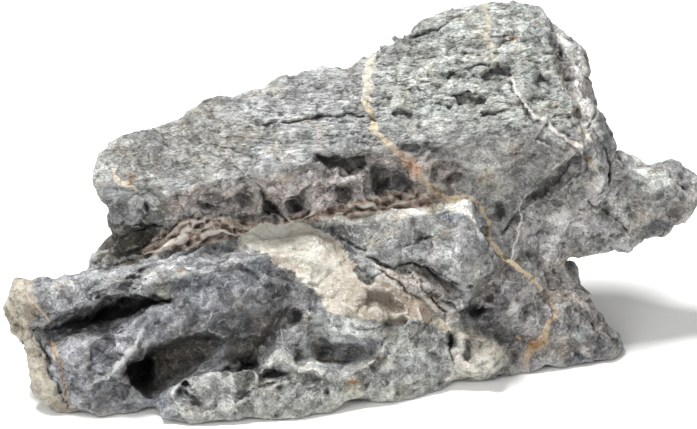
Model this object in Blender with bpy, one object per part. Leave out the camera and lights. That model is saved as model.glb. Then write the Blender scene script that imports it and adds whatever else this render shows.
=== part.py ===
"""A seiryu aquascaping stone: one piece of layered grey limestone, laid out from its own edge lines.

The stone is read face on, in a face frame: along the stone, up its face, and into it, in millimetres.
Each mass is a net of edge lines in that frame, closed into a solid. The masses are fused, weathered and
hollowed, and the face frame is then leant back so that the stone sits on its foot.
"""

import math

import bmesh
import bpy
import numpy as np
from mathutils import Matrix, Vector, noise

MM = 0.001
NAME = "seiryu_rock"
MATERIAL = "limestone"
STONE_GREY = (0.30, 0.31, 0.32, 1.0)  # linear, the blue-grey of dense limestone
STONE_ROUGHNESS = 0.8
FACE_LEAN = math.radians(25.0)  # how far the face frame leans back from upright
FUSE_VOXEL = 2.0  # mm, the grid on which the masses are fused
TRIANGLES = 9600  # what the finished solid keeps
UNDERSIDE_BAND = 14.0  # mm, how high up the hollows of the underside reach
UNDERSIDE_SPAN = 36.0  # mm
UNDERSIDE_HOLLOW = 5.0  # mm
PAD_CUT = 0.6  # mm, the height below which the underside is worn flat
PAD_SNAP = 0.05  # mm, what the flat pads may have moved while the mesh was thinned
SWELL = 1.0  # mm, gives back what the voxel grid takes off the edges
WARP_SEED = 4
WARP_SPAN = 36.0  # mm, the length over which the slow warping turns
WARP_REACH = 1.6  # mm
BED_RISE = 0.13  # the beds rise this much along the stone
BED_THICKNESS = 10.0  # mm
BED_DEPTH = 2.4  # mm
BED_WAVE = 9.0  # mm, how far the beds wander from their planes
BED_WAVE_SPAN = 50.0  # mm
BED_LIP = 0.16  # the share of a bed's thickness in which its lower edge comes forward
WORN_SPAN = 55.0  # mm, the size of the patches in which the beds are worn away
SLAB_FOOT = 112.0  # mm up the face, below which the beds show little
SLAB_LIP = 134.0  # mm up the face, above which they show fully
SLAB_RISE = 0.1  # both levels rise this much along the stone
SCALLOP_SPAN = 13.0  # mm
SCALLOP_DEPTH = 2.6  # mm
SCALLOP_MIDDLE = 0.45  # how much of its depth a scallop's middle lies below the surface
SCALLOP_RIM = 1.6  # how steeply its bowl climbs to the rim
PATCH_SPAN = 34.0  # mm, the size of the patches in which scallops are deep
LUMP_SPAN = 24.0  # mm
LUMP_DEPTH = 1.1  # mm
WORN_PLACE = Vector((2.0, 9.0, 5.0))  # where in the noise the worn patches are read
PATCH_PLACE = Vector((7.0, 1.0, 4.0))
BED_PLACE = (3.7, 1.3)


def from_floor(along, behind, above):
    """The face-frame point of a place measured from the floor: along, behind the front, above the floor."""
    up = behind * math.sin(FACE_LEAN) + above * math.cos(FACE_LEAN)
    into = behind * math.cos(FACE_LEAN) - above * math.sin(FACE_LEAN)
    return (along, up, into)


def floor_line(*places):
    """An edge line given in floor measures, for edges that the face doesn't show."""
    return [from_floor(*place) for place in places]


# Each mass is a ring of edge lines, every line running left to right as (along, up, into) in mm.
MASSES = {
    "upper_slab": {
        "crest": [(49, 134, 22), (57, 142, 27), (66, 146.5, 31), (82, 149, 33), (93, 155, 36), (100, 161, 39),
                  (107, 165, 41), (119, 163, 42), (126, 166, 43), (137, 172, 45), (150, 178, 48),
                  (159, 181, 49), (172, 180.5, 51), (187, 183.5, 53), (198, 195.5, 57), (208, 204, 61),
                  (220, 208.5, 63), (236, 212, 65)],
        "brow": [(48, 129, 14), (60, 135, 19), (82, 138, 20), (106, 148, 26), (120, 150, 28), (150, 160, 32),
                 (186, 168, 38), (200, 178, 45), (220, 184, 48), (236, 186, 50)],
        "cheek": [(47.5, 127, 13), (60, 128, 14), (82, 130, 15), (106, 134, 17), (125, 138, 19),
                  (150, 145, 23), (186, 152, 29), (206, 160, 34), (236, 164, 38)],
        "lip": [(48.5, 122, 13), (57, 119, 11), (72, 119, 12), (80, 121, 10), (100, 124, 10), (125, 126, 11),
                (145, 131, 14), (165, 136, 17), (185, 138, 20), (205, 140, 23), (236, 144, 27)],
        "band": [(51, 112, 17), (60, 108, 16), (72, 109, 19), (82, 112, 17), (100, 114, 18), (125, 115, 20),
                 (145, 117, 22), (165, 121, 24), (185, 124, 27), (205, 127, 30), (236, 130, 34)],
        "undercut": [(57, 101, 26), (66, 98, 26), (78, 99, 27), (86, 103, 28), (92, 107, 27), (107, 108, 28),
                     (120, 104, 31), (145, 103.5, 31), (160, 107, 32), (175, 109, 34), (200, 114, 38),
                     (220, 117, 40), (236, 116, 42)],
        "throat": [(62, 97, 46), (100, 101, 52), (150, 101, 54), (200, 106, 58), (236, 108, 60)],
        "belly": floor_line((66, 108, 70), (120, 130, 60), (180, 140, 60), (236, 155, 60)),
        "rear": floor_line((66, 110, 86), (84, 128, 90), (106, 132, 98), (128, 148, 100), (156, 142, 106),
                           (182, 158, 112), (208, 152, 116), (236, 150, 118)),
        "rear_top": floor_line((56, 98, 99), (70, 110, 106), (86, 124, 111), (102, 125, 113), (118, 139, 119),
                               (142, 131, 123), (166, 150, 125), (190, 143, 131), (214, 158, 141),
                               (236, 152, 147)),
    },
    "head": {
        "crest": [(228, 210.5, 64), (240, 212, 66), (255, 214, 67), (268, 213, 68), (274, 209, 72),
                  (282, 199, 76)],
        "brow": [(225, 195, 54), (240, 196, 55), (255, 197, 56), (273, 198, 57), (278, 196, 66),
                 (287, 188, 76)],
        "upper_face": [(222, 178, 44), (240, 177, 45), (258, 177, 46), (279, 176, 47), (284, 175, 57),
                       (296, 176, 70)],
        "middle_face": [(222, 161, 35), (240, 161, 36), (260, 160, 37), (286, 160, 40), (289, 160, 47),
                        (298, 158, 64)],
        "lip": [(222, 143, 26), (245, 145, 27), (262, 144, 29), (280, 145, 33), (291, 140, 36),
                (304, 142, 62)],
        "face": [(222, 122, 36), (240, 121, 36), (255, 121, 36), (270, 122, 38), (281, 126, 39),
                 (303, 124, 62)],
        "face_foot": [(226, 104, 43), (238, 105, 43), (248, 106, 42), (256, 107, 43), (262, 109, 44),
                      (300, 106, 64)],
        "spur": [(232, 92, 50), (240, 90, 49), (246, 89, 48), (249, 90, 48), (252, 92, 50), (296, 92, 68)],
        "under": floor_line((232, 110, 50), (250, 112, 48), (295, 120, 60)),
        "rear": floor_line((218, 150, 58), (238, 166, 64), (260, 164, 58), (282, 156, 70), (292, 148, 85)),
        "rear_top": floor_line((218, 154, 140), (236, 170, 144), (255, 168, 149), (272, 170, 143),
                               (284, 158, 130)),
    },
    "cheek_block": {
        "top": [(276, 204, 78), (283, 197, 74), (289, 189, 74), (294, 179, 76)],
        "upper": [(281, 188, 64), (286, 186, 60), (291, 182, 62), (295.5, 172, 74)],
        "middle": [(286, 165, 54), (289, 166, 47), (293, 164, 50), (296.5, 159, 66)],
        "lower": [(289, 148, 46), (293, 148, 41), (299, 150, 47), (303, 149, 62)],
        "foot": [(291, 132, 48), (295, 126, 44), (301, 124, 50), (306, 138, 64)],
        "tail": [(292, 112, 60), (296, 112, 58), (300, 112, 60), (304, 124, 68)],
        "rear": floor_line((290, 135, 80), (297, 135, 82), (300, 135, 92)),
        "rear_top": floor_line((276, 155, 140), (286, 150, 128), (291, 145, 115)),
    },
    "shoulder": {
        "top": [(255, 114, 56), (268, 122, 56), (280, 128, 56), (292, 130, 56), (306, 134, 64)],
        "upper": [(252, 100, 52), (264, 106, 54), (276, 112, 55), (290, 114, 56), (304, 112, 60)],
        "lower": [(250, 90, 52), (262, 92, 55), (274, 92, 57), (288, 94, 60), (308, 92, 64)],
        "edge": [(252, 78, 58), (264, 82, 58), (277, 84, 60), (286, 87, 62), (290, 87.5, 64), (312, 86, 68)],
        "under": floor_line((256, 112, 40), (270, 116, 44), (284, 120, 50), (312, 124, 56)),
        "rear": floor_line((256, 158, 40), (275, 158, 60), (305, 150, 74)),
        "rear_top": floor_line((256, 165, 110), (300, 150, 92)),
    },
    "arm": {
        "top": [(296, 142, 68), (306, 141, 70), (312, 140, 71), (318, 137, 72), (330, 135, 74), (341, 133, 77),
                (348, 129, 80)],
        "upper": [(294, 130, 60), (306, 130, 60), (314, 128, 61), (322, 128, 62), (332, 127, 65),
                  (343, 126, 70), (350.5, 121, 78)],
        "lower": [(294, 108, 58), (304, 108, 60), (312, 106, 61), (322, 108, 62), (332, 109, 65),
                  (341, 110, 70), (349.5, 114, 78)],
        "edge": [(290, 89, 62), (300, 88, 63), (311, 85.5, 66), (316, 86, 66), (322, 91, 68), (334, 97, 72),
                 (344, 105, 78)],
        "under": floor_line((294, 122, 56), (312, 124, 58), (326, 128, 66), (338, 132, 74)),
        "rear": floor_line((292, 146, 72), (316, 144, 68), (340, 142, 72)),
        "rear_top": floor_line((294, 146, 84), (316, 142, 80), (342, 140, 74)),
    },
    "lower_slab": {
        "top_rear": [(11, 71, 22), (30, 74, 28), (47, 76, 34), (56, 80, 40), (66, 86, 44), (80, 90, 46),
                     (95, 93, 48), (120, 94, 46), (137, 91, 40)],
        "top_edge": [(11, 75, 12), (22, 76, 10), (38, 76, 9), (47, 77, 8), (60, 73, 7), (76, 79, 9),
                     (90, 78, 8), (107, 81, 9), (122, 84, 11), (136, 86, 14), (143, 80, 18)],
        "band": [(15, 62, 7), (30, 66, 6), (50, 65, 5), (66, 68, 6), (76, 72, 7), (96, 72, 8), (115, 74, 10),
                 (132, 74, 13), (144, 68, 18)],
        "mid": [(19, 50, 7), (30, 50, 5), (50, 52, 4), (70, 56, 5), (90, 60, 7), (110, 62, 10), (130, 60, 14),
                (143, 56, 20)],
        "low": [(26, 32, 9), (36, 34, 6), (55, 34, 5), (75, 38, 7), (95, 42, 10), (115, 46, 15), (130, 46, 20),
                (140, 46, 26)],
        "bottom": [(37, 7.5, 13), (48, 6, 13), (60, 7, 13), (72, 8, 14), (84, 10, 17), (100, 22, 24),
                   (125, 32, 30), (142, 42, 30)],
        "base": floor_line((38, 50, 0), (60, 60, 0), (80, 70, 0), (110, 70, 10), (142, 70, 20)),
        "rear": floor_line((36, 92, 4), (80, 105, 4), (142, 100, 10)),
        "rear_top": floor_line((20, 74, 42), (50, 88, 46), (100, 100, 60), (140, 100, 62)),
    },
    "end_crust": {
        "cap": [(4.5, 73, 14), (12, 75, 12), (18, 74.5, 10)],
        "brow": [(1.5, 62, 18), (9, 61, 7), (16.5, 57, 6)],
        "cheek": [(4, 52, 19), (13, 47, 7), (21, 43, 7)],
        "shin": [(13.5, 32, 19), (21, 27, 9), (30, 24, 9)],
        "heel": [(20, 17, 18), (29, 12, 12), (36.5, 8.5, 12)],
        "sole": [(28, 9, 20), (34, 7, 18), (38, 6.5, 15)],
        "base": floor_line((28, 40, 2), (34, 40, 1), (40, 40, 0)),
        "rear": floor_line((12, 50, 40), (20, 52, 40), (28, 54, 40)),
    },
    "calcite_face": {
        "top": [(122, 97, 42), (133, 101, 40), (145, 102, 38), (160, 103, 38), (172, 104, 38), (188, 98, 38)],
        "edge": [(136, 87, 16), (143, 87, 19), (154, 86, 21), (168, 82, 22), (180, 80, 24), (194, 79, 26)],
        "middle": [(142, 74, 18), (152, 73, 16), (164, 70, 17), (178, 68, 18), (192, 66, 21), (206, 64, 25)],
        "lower": [(148, 64, 18), (158, 60, 17), (170, 58, 18), (184, 56, 18), (200, 55, 21), (216, 54, 26)],
        "foot": [(150, 52, 24), (160, 50, 25), (172, 49, 26), (186, 48, 26), (200, 47, 28), (217, 46, 31)],
        "base": floor_line((150, 60, 10), (180, 65, 10), (215, 75, 10)),
        "rear": floor_line((150, 110, 20), (215, 110, 20)),
        "rear_top": floor_line((140, 105, 72), (200, 110, 75)),
    },
    "brown_ridges": {
        "top": [(192, 86, 34), (204, 85, 36), (214, 82, 38), (224, 76, 40), (234, 70, 42)],
        "face": [(194, 76, 26), (206, 74, 27), (216, 69, 30), (224, 63, 33), (232, 57, 37)],
        "foot": [(198, 62, 28), (208, 56, 31), (216, 52, 34), (224, 48, 38), (230, 46, 42)],
        "base": floor_line((198, 80, 15), (215, 85, 10), (230, 90, 10)),
        "rear": floor_line((198, 105, 50), (215, 108, 50), (234, 110, 50)),
    },
    "middle_block": {
        "top": [(160, 106, 46), (176, 107, 46), (190, 108, 46), (204, 110, 47), (218, 113, 48), (231, 114, 50)],
        "edge": [(160, 103, 34), (176, 104, 28), (192, 104, 25), (206, 105, 24), (220, 108, 25), (234, 108, 29)],
        "face": [(172, 97, 27), (182, 95, 24), (196, 94, 21), (210, 96, 18), (226, 96, 17), (240, 97, 22)],
        "belly": [(178, 90, 27), (186, 88, 24), (198, 88, 22), (212, 88, 19), (228, 84, 17), (246, 86, 24)],
        "chin": [(184, 85, 28), (194, 84, 25), (206, 83, 22), (220, 78, 20), (233, 72, 19), (247, 76, 27)],
        "under": [(184, 82, 45), (200, 81, 45), (215, 77, 45), (226, 74, 45), (237, 69, 45), (250, 76, 48)],
        "rear": floor_line((184, 105, 50), (215, 110, 50), (246, 115, 50)),
        "rear_top": floor_line((176, 105, 80), (215, 110, 80), (240, 115, 80)),
    },
    "front_ledge": {
        "top_rear": [(85, 15, 24), (100, 20, 28), (120, 24, 30), (150, 34, 32), (175, 40, 32), (200, 48, 34),
                     (224, 44, 42)],
        "ridge": [(82, 14, 6), (87, 22, 7), (95, 25, 8), (104, 27, 9), (113, 31, 10), (117, 27, 11),
                  (122, 30, 12), (129, 27, 12), (136, 36, 14), (142, 37, 15), (148, 31, 16), (156, 31, 17),
                  (163, 27, 18), (172, 28, 19), (181, 36, 21), (190, 42, 23), (205, 46, 27), (223, 42, 34)],
        "face": [(81, 9, 4), (92, 15, 3), (104, 17, 4), (118, 19, 6), (135, 22, 9), (150, 22, 11),
                 (168, 21, 14), (186, 28, 18), (204, 34, 24), (223, 33, 36)],
        "shin": [(80.5, 5, 3.5), (100, 8, 1.5), (125, 10, 4.5), (150, 12, 9), (172, 14, 14), (192, 20, 22),
                 (208, 25, 31), (225, 28, 42)],
        "bottom": [(80, 2.5, 5), (92, 1, 2.5), (110, 2, 4.5), (125, 3, 6.5), (140, 4.5, 9.5), (155, 6, 13),
                   (175, 9, 19), (190, 11, 23.5), (210, 16, 35), (226, 23, 48)],
        "base": floor_line((84, 50, 0), (125, 70, 0), (175, 80, 0), (226, 90, 0)),
        "rear": floor_line((84, 60, 10), (125, 80, 15), (175, 90, 20), (226, 100, 25)),
    },
    "divider": {
        "top": [(138, 55, 24), (144, 62, 20), (150, 60, 20), (157, 57, 22)],
        "face": [(134, 42, 22), (141, 48, 18), (149, 48, 19), (156, 46, 24)],
        "foot": [(128, 32, 20), (136, 34, 17), (146, 34, 20), (153, 30, 27)],
        "under": floor_line((128, 50, 10), (153, 60, 10)),
        "rear": floor_line((132, 80, 40), (155, 80, 40)),
    },
    "scoop_shelf": {
        "top": [(150, 55, 26), (160, 58, 25), (172, 57, 25), (184, 55, 27), (196, 52, 29), (212, 52, 33),
                (226, 46, 39)],
        "edge": [(152, 47, 23), (162, 48, 22), (174, 47, 21), (186, 46, 22), (196, 45, 24), (210, 46, 28),
                 (224, 41, 36)],
        "wall": [(152, 30, 34), (170, 28, 34), (192, 30, 34), (222, 28, 44)],
        "base": floor_line((150, 70, 5), (190, 80, 5), (222, 90, 5)),
        "rear": floor_line((150, 90, 40), (190, 95, 40), (222, 100, 35)),
    },
    "nodule": {
        "top": [(222, 49, 44), (228, 52.5, 43), (235, 52.5, 43), (243, 48, 43), (250, 44, 46), (254, 40, 51)],
        "face": [(223, 40, 36), (229, 44, 33), (236, 43, 32), (244, 41, 34), (250.5, 38, 39), (255, 35, 47)],
        "jaw": [(224, 29, 38), (230, 30, 36), (237, 30, 36), (244, 32, 39), (250, 32.5, 44),
                (254, 32, 50)],
        "bottom": [(226, 23, 47), (232, 24, 48), (238, 25, 49), (244, 26.5, 50), (249, 27.5, 52),
                   (252, 29.5, 55)],
        "base": floor_line((222, 70, 2), (236, 72, 4), (252, 76, 8)),
        "rear": floor_line((222, 95, 5), (252, 95, 8)),
        "rear_top": floor_line((222, 90, 22), (252, 92, 20)),
    },
    "neck": {
        "top": [(212, 78, 46), (226, 80, 48), (240, 86, 50), (252, 88, 51), (266, 88, 56), (286, 86, 63)],
        "upper": [(214, 66, 46), (228, 68, 46), (242, 72, 48), (256, 74, 50), (270, 76, 57), (281, 78, 63)],
        "middle": [(222, 52, 50), (232, 54, 49), (246, 58, 48), (260, 56, 49), (272, 58, 55), (280, 60, 62)],
        "lower": [(228, 40, 52), (240, 40, 54), (252, 40, 54), (264, 38, 55), (274, 42, 58), (280, 44, 62)],
        "bottom": [(238, 26, 55), (246, 25, 53), (254, 25, 53), (264, 26, 56), (274, 27.5, 59),
                   (280, 28.5, 61)],
        "base": floor_line((235, 110, 0), (262, 115, 0), (280, 115, 0)),
        "rear": floor_line((225, 155, 10), (262, 150, 5), (278, 140, 5)),
        "rear_top": floor_line((220, 158, 70), (262, 160, 70), (278, 150, 62)),
    },
    "foot": {
        "top": [(272, 86, 62), (284, 82, 64), (289, 75, 66), (294, 70, 67), (298.5, 62, 69), (303.5, 54, 71),
                (309.5, 46, 75), (314, 39, 79)],
        "face": [(272, 64, 58), (282, 62, 58), (290, 56, 60), (296, 50, 61), (302, 45, 64), (307, 41, 67),
                 (310, 38, 71), (313.5, 37, 77)],
        "bottom": [(272, 27, 58), (278, 28, 60), (284, 29, 62), (290, 29, 63), (297, 29.5, 65),
                   (303, 31, 68), (308, 33.5, 73), (312, 36.5, 78)],
        "base": floor_line((272, 105, 0), (290, 102, 0), (304, 100, 1), (310, 98, 5)),
        "rear": floor_line((270, 130, 8), (290, 112, 10), (302, 106, 8)),
        "rear_top": floor_line((270, 135, 34), (284, 116, 30), (292, 108, 22), (303, 104, 8)),
    },
    "recess_ridge": {
        "top": [(60, 96, 42), (72, 98, 43), (84, 104, 40), (92, 108, 35), (100, 110, 33), (108, 110, 33),
                (115, 107, 35), (128, 103, 38)],
        "fold": [(54, 90, 38), (70, 94, 38), (84, 98, 33), (94, 104, 29), (102, 106, 28), (110, 104, 28),
                 (118, 100, 30), (130, 100, 34)],
        "sill": [(48, 83, 35), (64, 88, 33), (80, 92, 29), (92, 96, 27), (102, 98, 26), (112, 98, 26),
                 (120, 95, 28), (130, 96, 31)],
        "foot": [(48, 78, 35), (62, 82, 33), (80, 86, 31), (95, 88, 30), (110, 89, 30), (130, 90, 32)],
        "base": floor_line((56, 84, 44), (90, 90, 50), (128, 95, 55)),
        "rear": floor_line((60, 108, 62), (90, 112, 75), (128, 112, 78)),
    },
    "rear_buttress": {
        "top_inner": floor_line((78, 104, 62), (110, 112, 70), (150, 118, 64), (190, 124, 60),
                                (210, 126, 54), (232, 130, 60)),
        "top_edge": floor_line((76, 122, 52), (104, 142, 62), (140, 138, 54), (176, 153, 56),
                               (206, 146, 48), (232, 150, 60)),
        "belly": floor_line((80, 126, 30), (108, 149, 34), (144, 144, 26), (178, 157, 32), (210, 147, 22),
                            (234, 148, 30)),
        "foot": floor_line((86, 116, 0), (112, 136, 0), (146, 134, 0), (180, 144, 0), (208, 136, 0),
                           (232, 142, 0)),
        "base": floor_line((86, 98, 0), (120, 104, 0), (150, 104, 0), (180, 108, 0), (208, 110, 0),
                           (232, 112, 0)),
    },
}

# What water has dissolved right out: rings of edge lines as above, each closed into a solid to take away.
HOLLOWS = {
    "crevice": {
        "upper_lip": [(16, 49, -4), (24, 52, -4), (32, 55.5, -4), (42, 59, -4), (52, 62.5, -3), (64, 66, -2),
                      (76, 68.5, 0), (91, 68.5, 2)],
        "lower_lip": [(16, 44.5, -4), (24, 43.5, -4), (32, 42.5, -4), (42, 42, -4), (52, 43.5, -3),
                      (64, 51, -2), (76, 58, 0), (91, 62.5, 2)],
        "floor": [(20, 46, 12), (26, 47, 15), (34, 48.5, 17), (43, 50, 19), (53, 53, 20), (64, 57.5, 20),
                  (75, 61, 19), (89, 64, 16)],
        "deep": [(20, 49, 14), (26, 53, 20), (34, 57.5, 24), (43, 62, 27), (53, 65.5, 28), (64, 68, 26),
                 (75, 69.5, 24), (89, 68.5, 18)],
    },
    "big_pit": {
        "upper_lip": [(59, 28, 0), (63, 35, 0), (69, 42, -2), (82, 45.5, -2), (92, 48.5, -1), (100, 51, 0),
                      (107, 50.5, 2), (112, 44, 6)],
        "lower_lip": [(59, 26, 0), (63, 23, 0), (70, 18, 0), (76, 15, 2), (84, 17, 2), (92, 22, 2),
                      (102, 30, 3), (112, 41, 6)],
        "floor": [(61, 26, 10), (66, 22, 20), (72, 20, 25), (78, 20, 27), (86, 23, 26), (94, 28, 24),
                  (102, 35, 22), (110, 42, 16)],
        "deep": [(61, 28, 10), (66, 33, 18), (72, 38, 23), (82, 42, 25), (90, 44, 23), (98, 46, 20),
                 (105, 46, 16), (110, 44, 13)],
    },
    "slab_gap": {
        "upper_lip": [(50, 103, 8), (58, 101, 10), (68, 99.5, 12), (78, 100.5, 12), (88, 106, 14),
                      (104, 109, 14), (120, 105, 16), (145, 104.5, 18), (165, 108, 20), (190, 113, 22),
                      (215, 117, 26), (234, 117, 30)],
        "lower_lip": [(50, 95, 8), (58, 94, 10), (68, 94, 12), (78, 96.5, 12), (88, 103, 14),
                      (104, 106, 14), (120, 102, 16), (145, 101, 18), (165, 104.5, 20), (190, 109.5, 22),
                      (215, 113.5, 26), (234, 114, 30)],
        "floor": [(52, 92, 50), (60, 92, 50), (68, 93, 48), (78, 96, 46), (89, 103, 42), (104, 106.5, 41),
                  (120, 102.5, 42), (145, 101.5, 42), (165, 105, 44), (190, 110, 46), (215, 114, 46),
                  (232, 114.5, 44)],
        "deep": [(52, 100, 52), (60, 100, 52), (68, 99.5, 50), (78, 100.5, 47), (89, 106, 43),
                 (104, 109, 42), (120, 105, 43), (145, 104.5, 43), (165, 108, 45), (190, 113, 47),
                 (215, 117, 47), (232, 117, 45)],
    },
    "chin_crack": {
        "upper_lip": [(182, 86.5, 16), (192, 85, 14), (202, 84, 12), (212, 83.5, 10), (220, 80, 10),
                      (228, 74.5, 12)],
        "lower_lip": [(182, 85, 16), (192, 82, 14), (202, 80, 12), (212, 78.5, 10), (220, 75, 10),
                      (228, 72, 12)],
        "floor": [(184, 84, 34), (194, 81, 36), (204, 79, 38), (213, 77, 40), (221, 73.5, 42), (229, 70, 42)],
        "deep": [(184, 86, 34), (194, 84, 36), (204, 83, 38), (213, 82, 40), (221, 78.5, 42), (229, 73, 42)],
    },
}

# Dents that leave their floor in sight: along, up, half length, half height and depth in mm.
DENTS = {
    "niche_under_lip": (175, 132, 13, 6, 7.0),
    "niche_middle": (191, 123, 10, 11, 11.0),
    "niche_right": (226, 128, 12, 7, 9.0),
    "niche_low_right": (207, 121, 8, 6, 4.0),
    "niche_by_vein": (249, 111, 6, 8, 4.0),
    "band_left": (122, 109, 8, 5, 4.0),
    "band_groove": (138, 113, 5, 10, 5.5),
    "band_right": (152, 113, 8, 6, 3.0),
    "nose_groove": (73, 113, 4, 9, 3.0),
    "face_pit_left": (204, 156, 6, 4, 2.0),
    "face_pit_high": (227, 178, 7, 4, 2.5),
    "face_pit_top": (248, 178, 9, 5, 3.0),
    "face_pit_right": (270, 172, 8, 5, 3.0),
    "face_crack": (150, 155, 34, 3, 2.0),
    "scoop": (170, 37, 22, 9, 9.0),
    "scoop_mouth": (160, 40, 10, 9, 4.0),
    "dimple": (147, 54, 6, 7, 5.0),
    "valley": (126, 46, 14, 16, 6.0),
    "valley_foot": (117, 34, 12, 9, 5.0),
    "ledge_left": (94, 19, 8, 5, 2.5),
    "ledge_notch": (119, 25, 4, 7, 5.0),
    "ledge_notch_right": (132, 29, 4, 6, 4.0),
    "ledge_low": (104, 13, 9, 4, 2.5),
    "ledge_groove": (127, 22, 20, 4, 3.0),
    "ledge_right": (150, 26, 14, 5, 2.5),
    "block_hollow": (208, 94, 14, 8, 3.0),
    "cavity_by_nodule": (237, 59, 12, 6, 8.0),
    "gap_by_nodule": (220, 38, 3.5, 13, 7.0),
    "cavity_under_calcite": (196, 54, 9, 5, 5.0),
    "calcite_pit": (183, 65, 6, 5, 2.5),
    "arm_hollow": (318, 112, 18, 10, 3.0),
    "foot_hollow": (290, 44, 14, 9, 2.5),
    "crust_hollow": (10, 55, 5, 12, 1.5),
}

# The body joins the masses behind the face: its corners, in floor measures.
BODY = [
    (52, 50, 0), (140, 52, 0), (230, 95, 0), (278, 108, 0), (274, 140, 0), (150, 138, 0), (62, 108, 0),
    (52, 62, 48), (130, 70, 60), (225, 95, 66), (276, 108, 72),
    (62, 110, 56), (74, 104, 96), (110, 112, 108), (160, 118, 120), (235, 140, 142), (266, 150, 142),
    (150, 138, 96), (240, 160, 112), (274, 150, 90),
]


def columns_of(line, count):
    """The same line with count points: as it is if it has them, or else evenly spaced."""
    points = np.array(line, float)
    if len(points) == count:
        return points
    steps = np.linalg.norm(np.diff(points, axis=0), axis=1)
    length = np.concatenate([[0.0], np.cumsum(steps)])
    wanted = np.linspace(0.0, length[-1], count)
    return np.stack([np.interp(wanted, length, points[:, axis]) for axis in range(3)], axis=1)


def add_mass(mesh, lines):
    """Adds one closed mass to the mesh: a skin through the edge lines in turn, with its two ends filled."""
    count = max(len(line) for line in lines)
    rings = [[mesh.verts.new(point) for point in columns_of(line, count)] for line in lines]
    faces = []
    for here, following in zip(rings, rings[1:] + rings[:1]):
        for i in range(count - 1):
            faces.append(mesh.faces.new((here[i], here[i + 1], following[i + 1], following[i])))
    for end in (0, -1):
        faces.append(mesh.faces.new([ring[end] for ring in rings]))
    bmesh.ops.recalc_face_normals(mesh, faces=faces)


def add_hull(mesh, places):
    """Adds the convex solid whose corners are given in floor measures."""
    corners = [mesh.verts.new(from_floor(*place)) for place in places]
    made = bmesh.ops.convex_hull(mesh, input=corners)
    inside = {v for v in made["geom_interior"] + made["geom_unused"] if isinstance(v, bmesh.types.BMVert)}
    bmesh.ops.delete(mesh, geom=list(inside), context="VERTS")


def clear_scene():
    for obj in list(bpy.data.objects):
        bpy.data.objects.remove(obj, do_unlink=True)


def new_object(name, mesh):
    data = bpy.data.meshes.new(name)
    mesh.to_mesh(data)
    mesh.free()
    obj = bpy.data.objects.new(name, data)
    bpy.context.scene.collection.objects.link(obj)
    return obj


def bake_modifiers(obj):
    """Replaces the object's mesh with the one that its modifiers make."""
    graph = bpy.context.evaluated_depsgraph_get()
    baked = bpy.data.meshes.new_from_object(obj.evaluated_get(graph))
    obj.modifiers.clear()
    obj.data = baked


def fuse(obj, voxel):
    """Remeshes the object on a voxel grid, which unites all that overlaps, and keeps its outer shell alone."""
    remesh = obj.modifiers.new("fuse", "REMESH")
    remesh.mode = "VOXEL"
    remesh.voxel_size = voxel
    bake_modifiers(obj)
    mesh = bmesh.new()
    mesh.from_mesh(obj.data)
    shells = sorted(shells_of(mesh), key=len)
    for shell in shells[:-1]:
        bmesh.ops.delete(mesh, geom=shell, context="VERTS")
    mesh.to_mesh(obj.data)
    mesh.free()


def shells_of(mesh):
    """The mesh's separate shells, each as a list of its vertices."""
    unseen = set(mesh.verts)
    shells = []
    while unseen:
        shell = [unseen.pop()]
        for vert in shell:
            for edge in vert.link_edges:
                other = edge.other_vert(vert)
                if other in unseen:
                    unseen.remove(other)
                    shell.append(other)
        shells.append(shell)
    return shells


def cut_hollow(obj, name, lines):
    """Takes the closed solid between the edge lines out of the object."""
    mesh = bmesh.new()
    add_mass(mesh, lines)
    cutter = new_object(name, mesh)
    cutter.hide_render = True
    cutter.display_type = "WIRE"
    cut = obj.modifiers.new(name, "BOOLEAN")
    cut.operation = "DIFFERENCE"
    cut.solver = "EXACT"
    cut.object = cutter
    bake_modifiers(obj)
    bpy.data.objects.remove(cutter, do_unlink=True)


def smooth_step(low, high, value):
    t = min(1.0, max(0.0, (value - low) / (high - low)))
    return t * t * (3.0 - 2.0 * t)


def bed_step(height, thickness):
    """A shingle profile: each bed stands proud at its lower edge and falls back to the next one's foot."""
    place = height / thickness
    bed = math.floor(place)
    inside = place - bed
    proud = 0.45 + 0.55 * noise.cell(Vector((bed, *BED_PLACE)))
    return proud * (smooth_step(0.0, BED_LIP, inside) - inside)


def bed_lift(place):
    """How far the beds stand out at a place: fully on the upper slab, and not at all in the worn patches."""
    height = place.y - BED_RISE * place.x + BED_WAVE * noise.noise(place / BED_WAVE_SPAN)
    worn = smooth_step(-0.35, 0.3, noise.noise(place / WORN_SPAN + WORN_PLACE))
    return (0.35 + 0.65 * upper_share(place)) * worn * BED_DEPTH * bed_step(height, BED_THICKNESS)


def scallop_lift(place):
    """How far the dissolved scallops move a place: deep in patches, and shallow on the upper slab."""
    patch = smooth_step(-0.25, 0.25, noise.noise(place / PATCH_SPAN + PATCH_PLACE))
    near = noise.voronoi(place / SCALLOP_SPAN)[0][0]
    share = (1.0 - 0.75 * upper_share(place)) * (0.35 + 0.65 * patch)
    return share * SCALLOP_DEPTH * (SCALLOP_RIM * near * near - SCALLOP_MIDDLE)


def upper_share(place):
    """0 below the upper slab, 1 above its lip."""
    return smooth_step(SLAB_FOOT, SLAB_LIP, place.y - SLAB_RISE * place.x)


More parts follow.
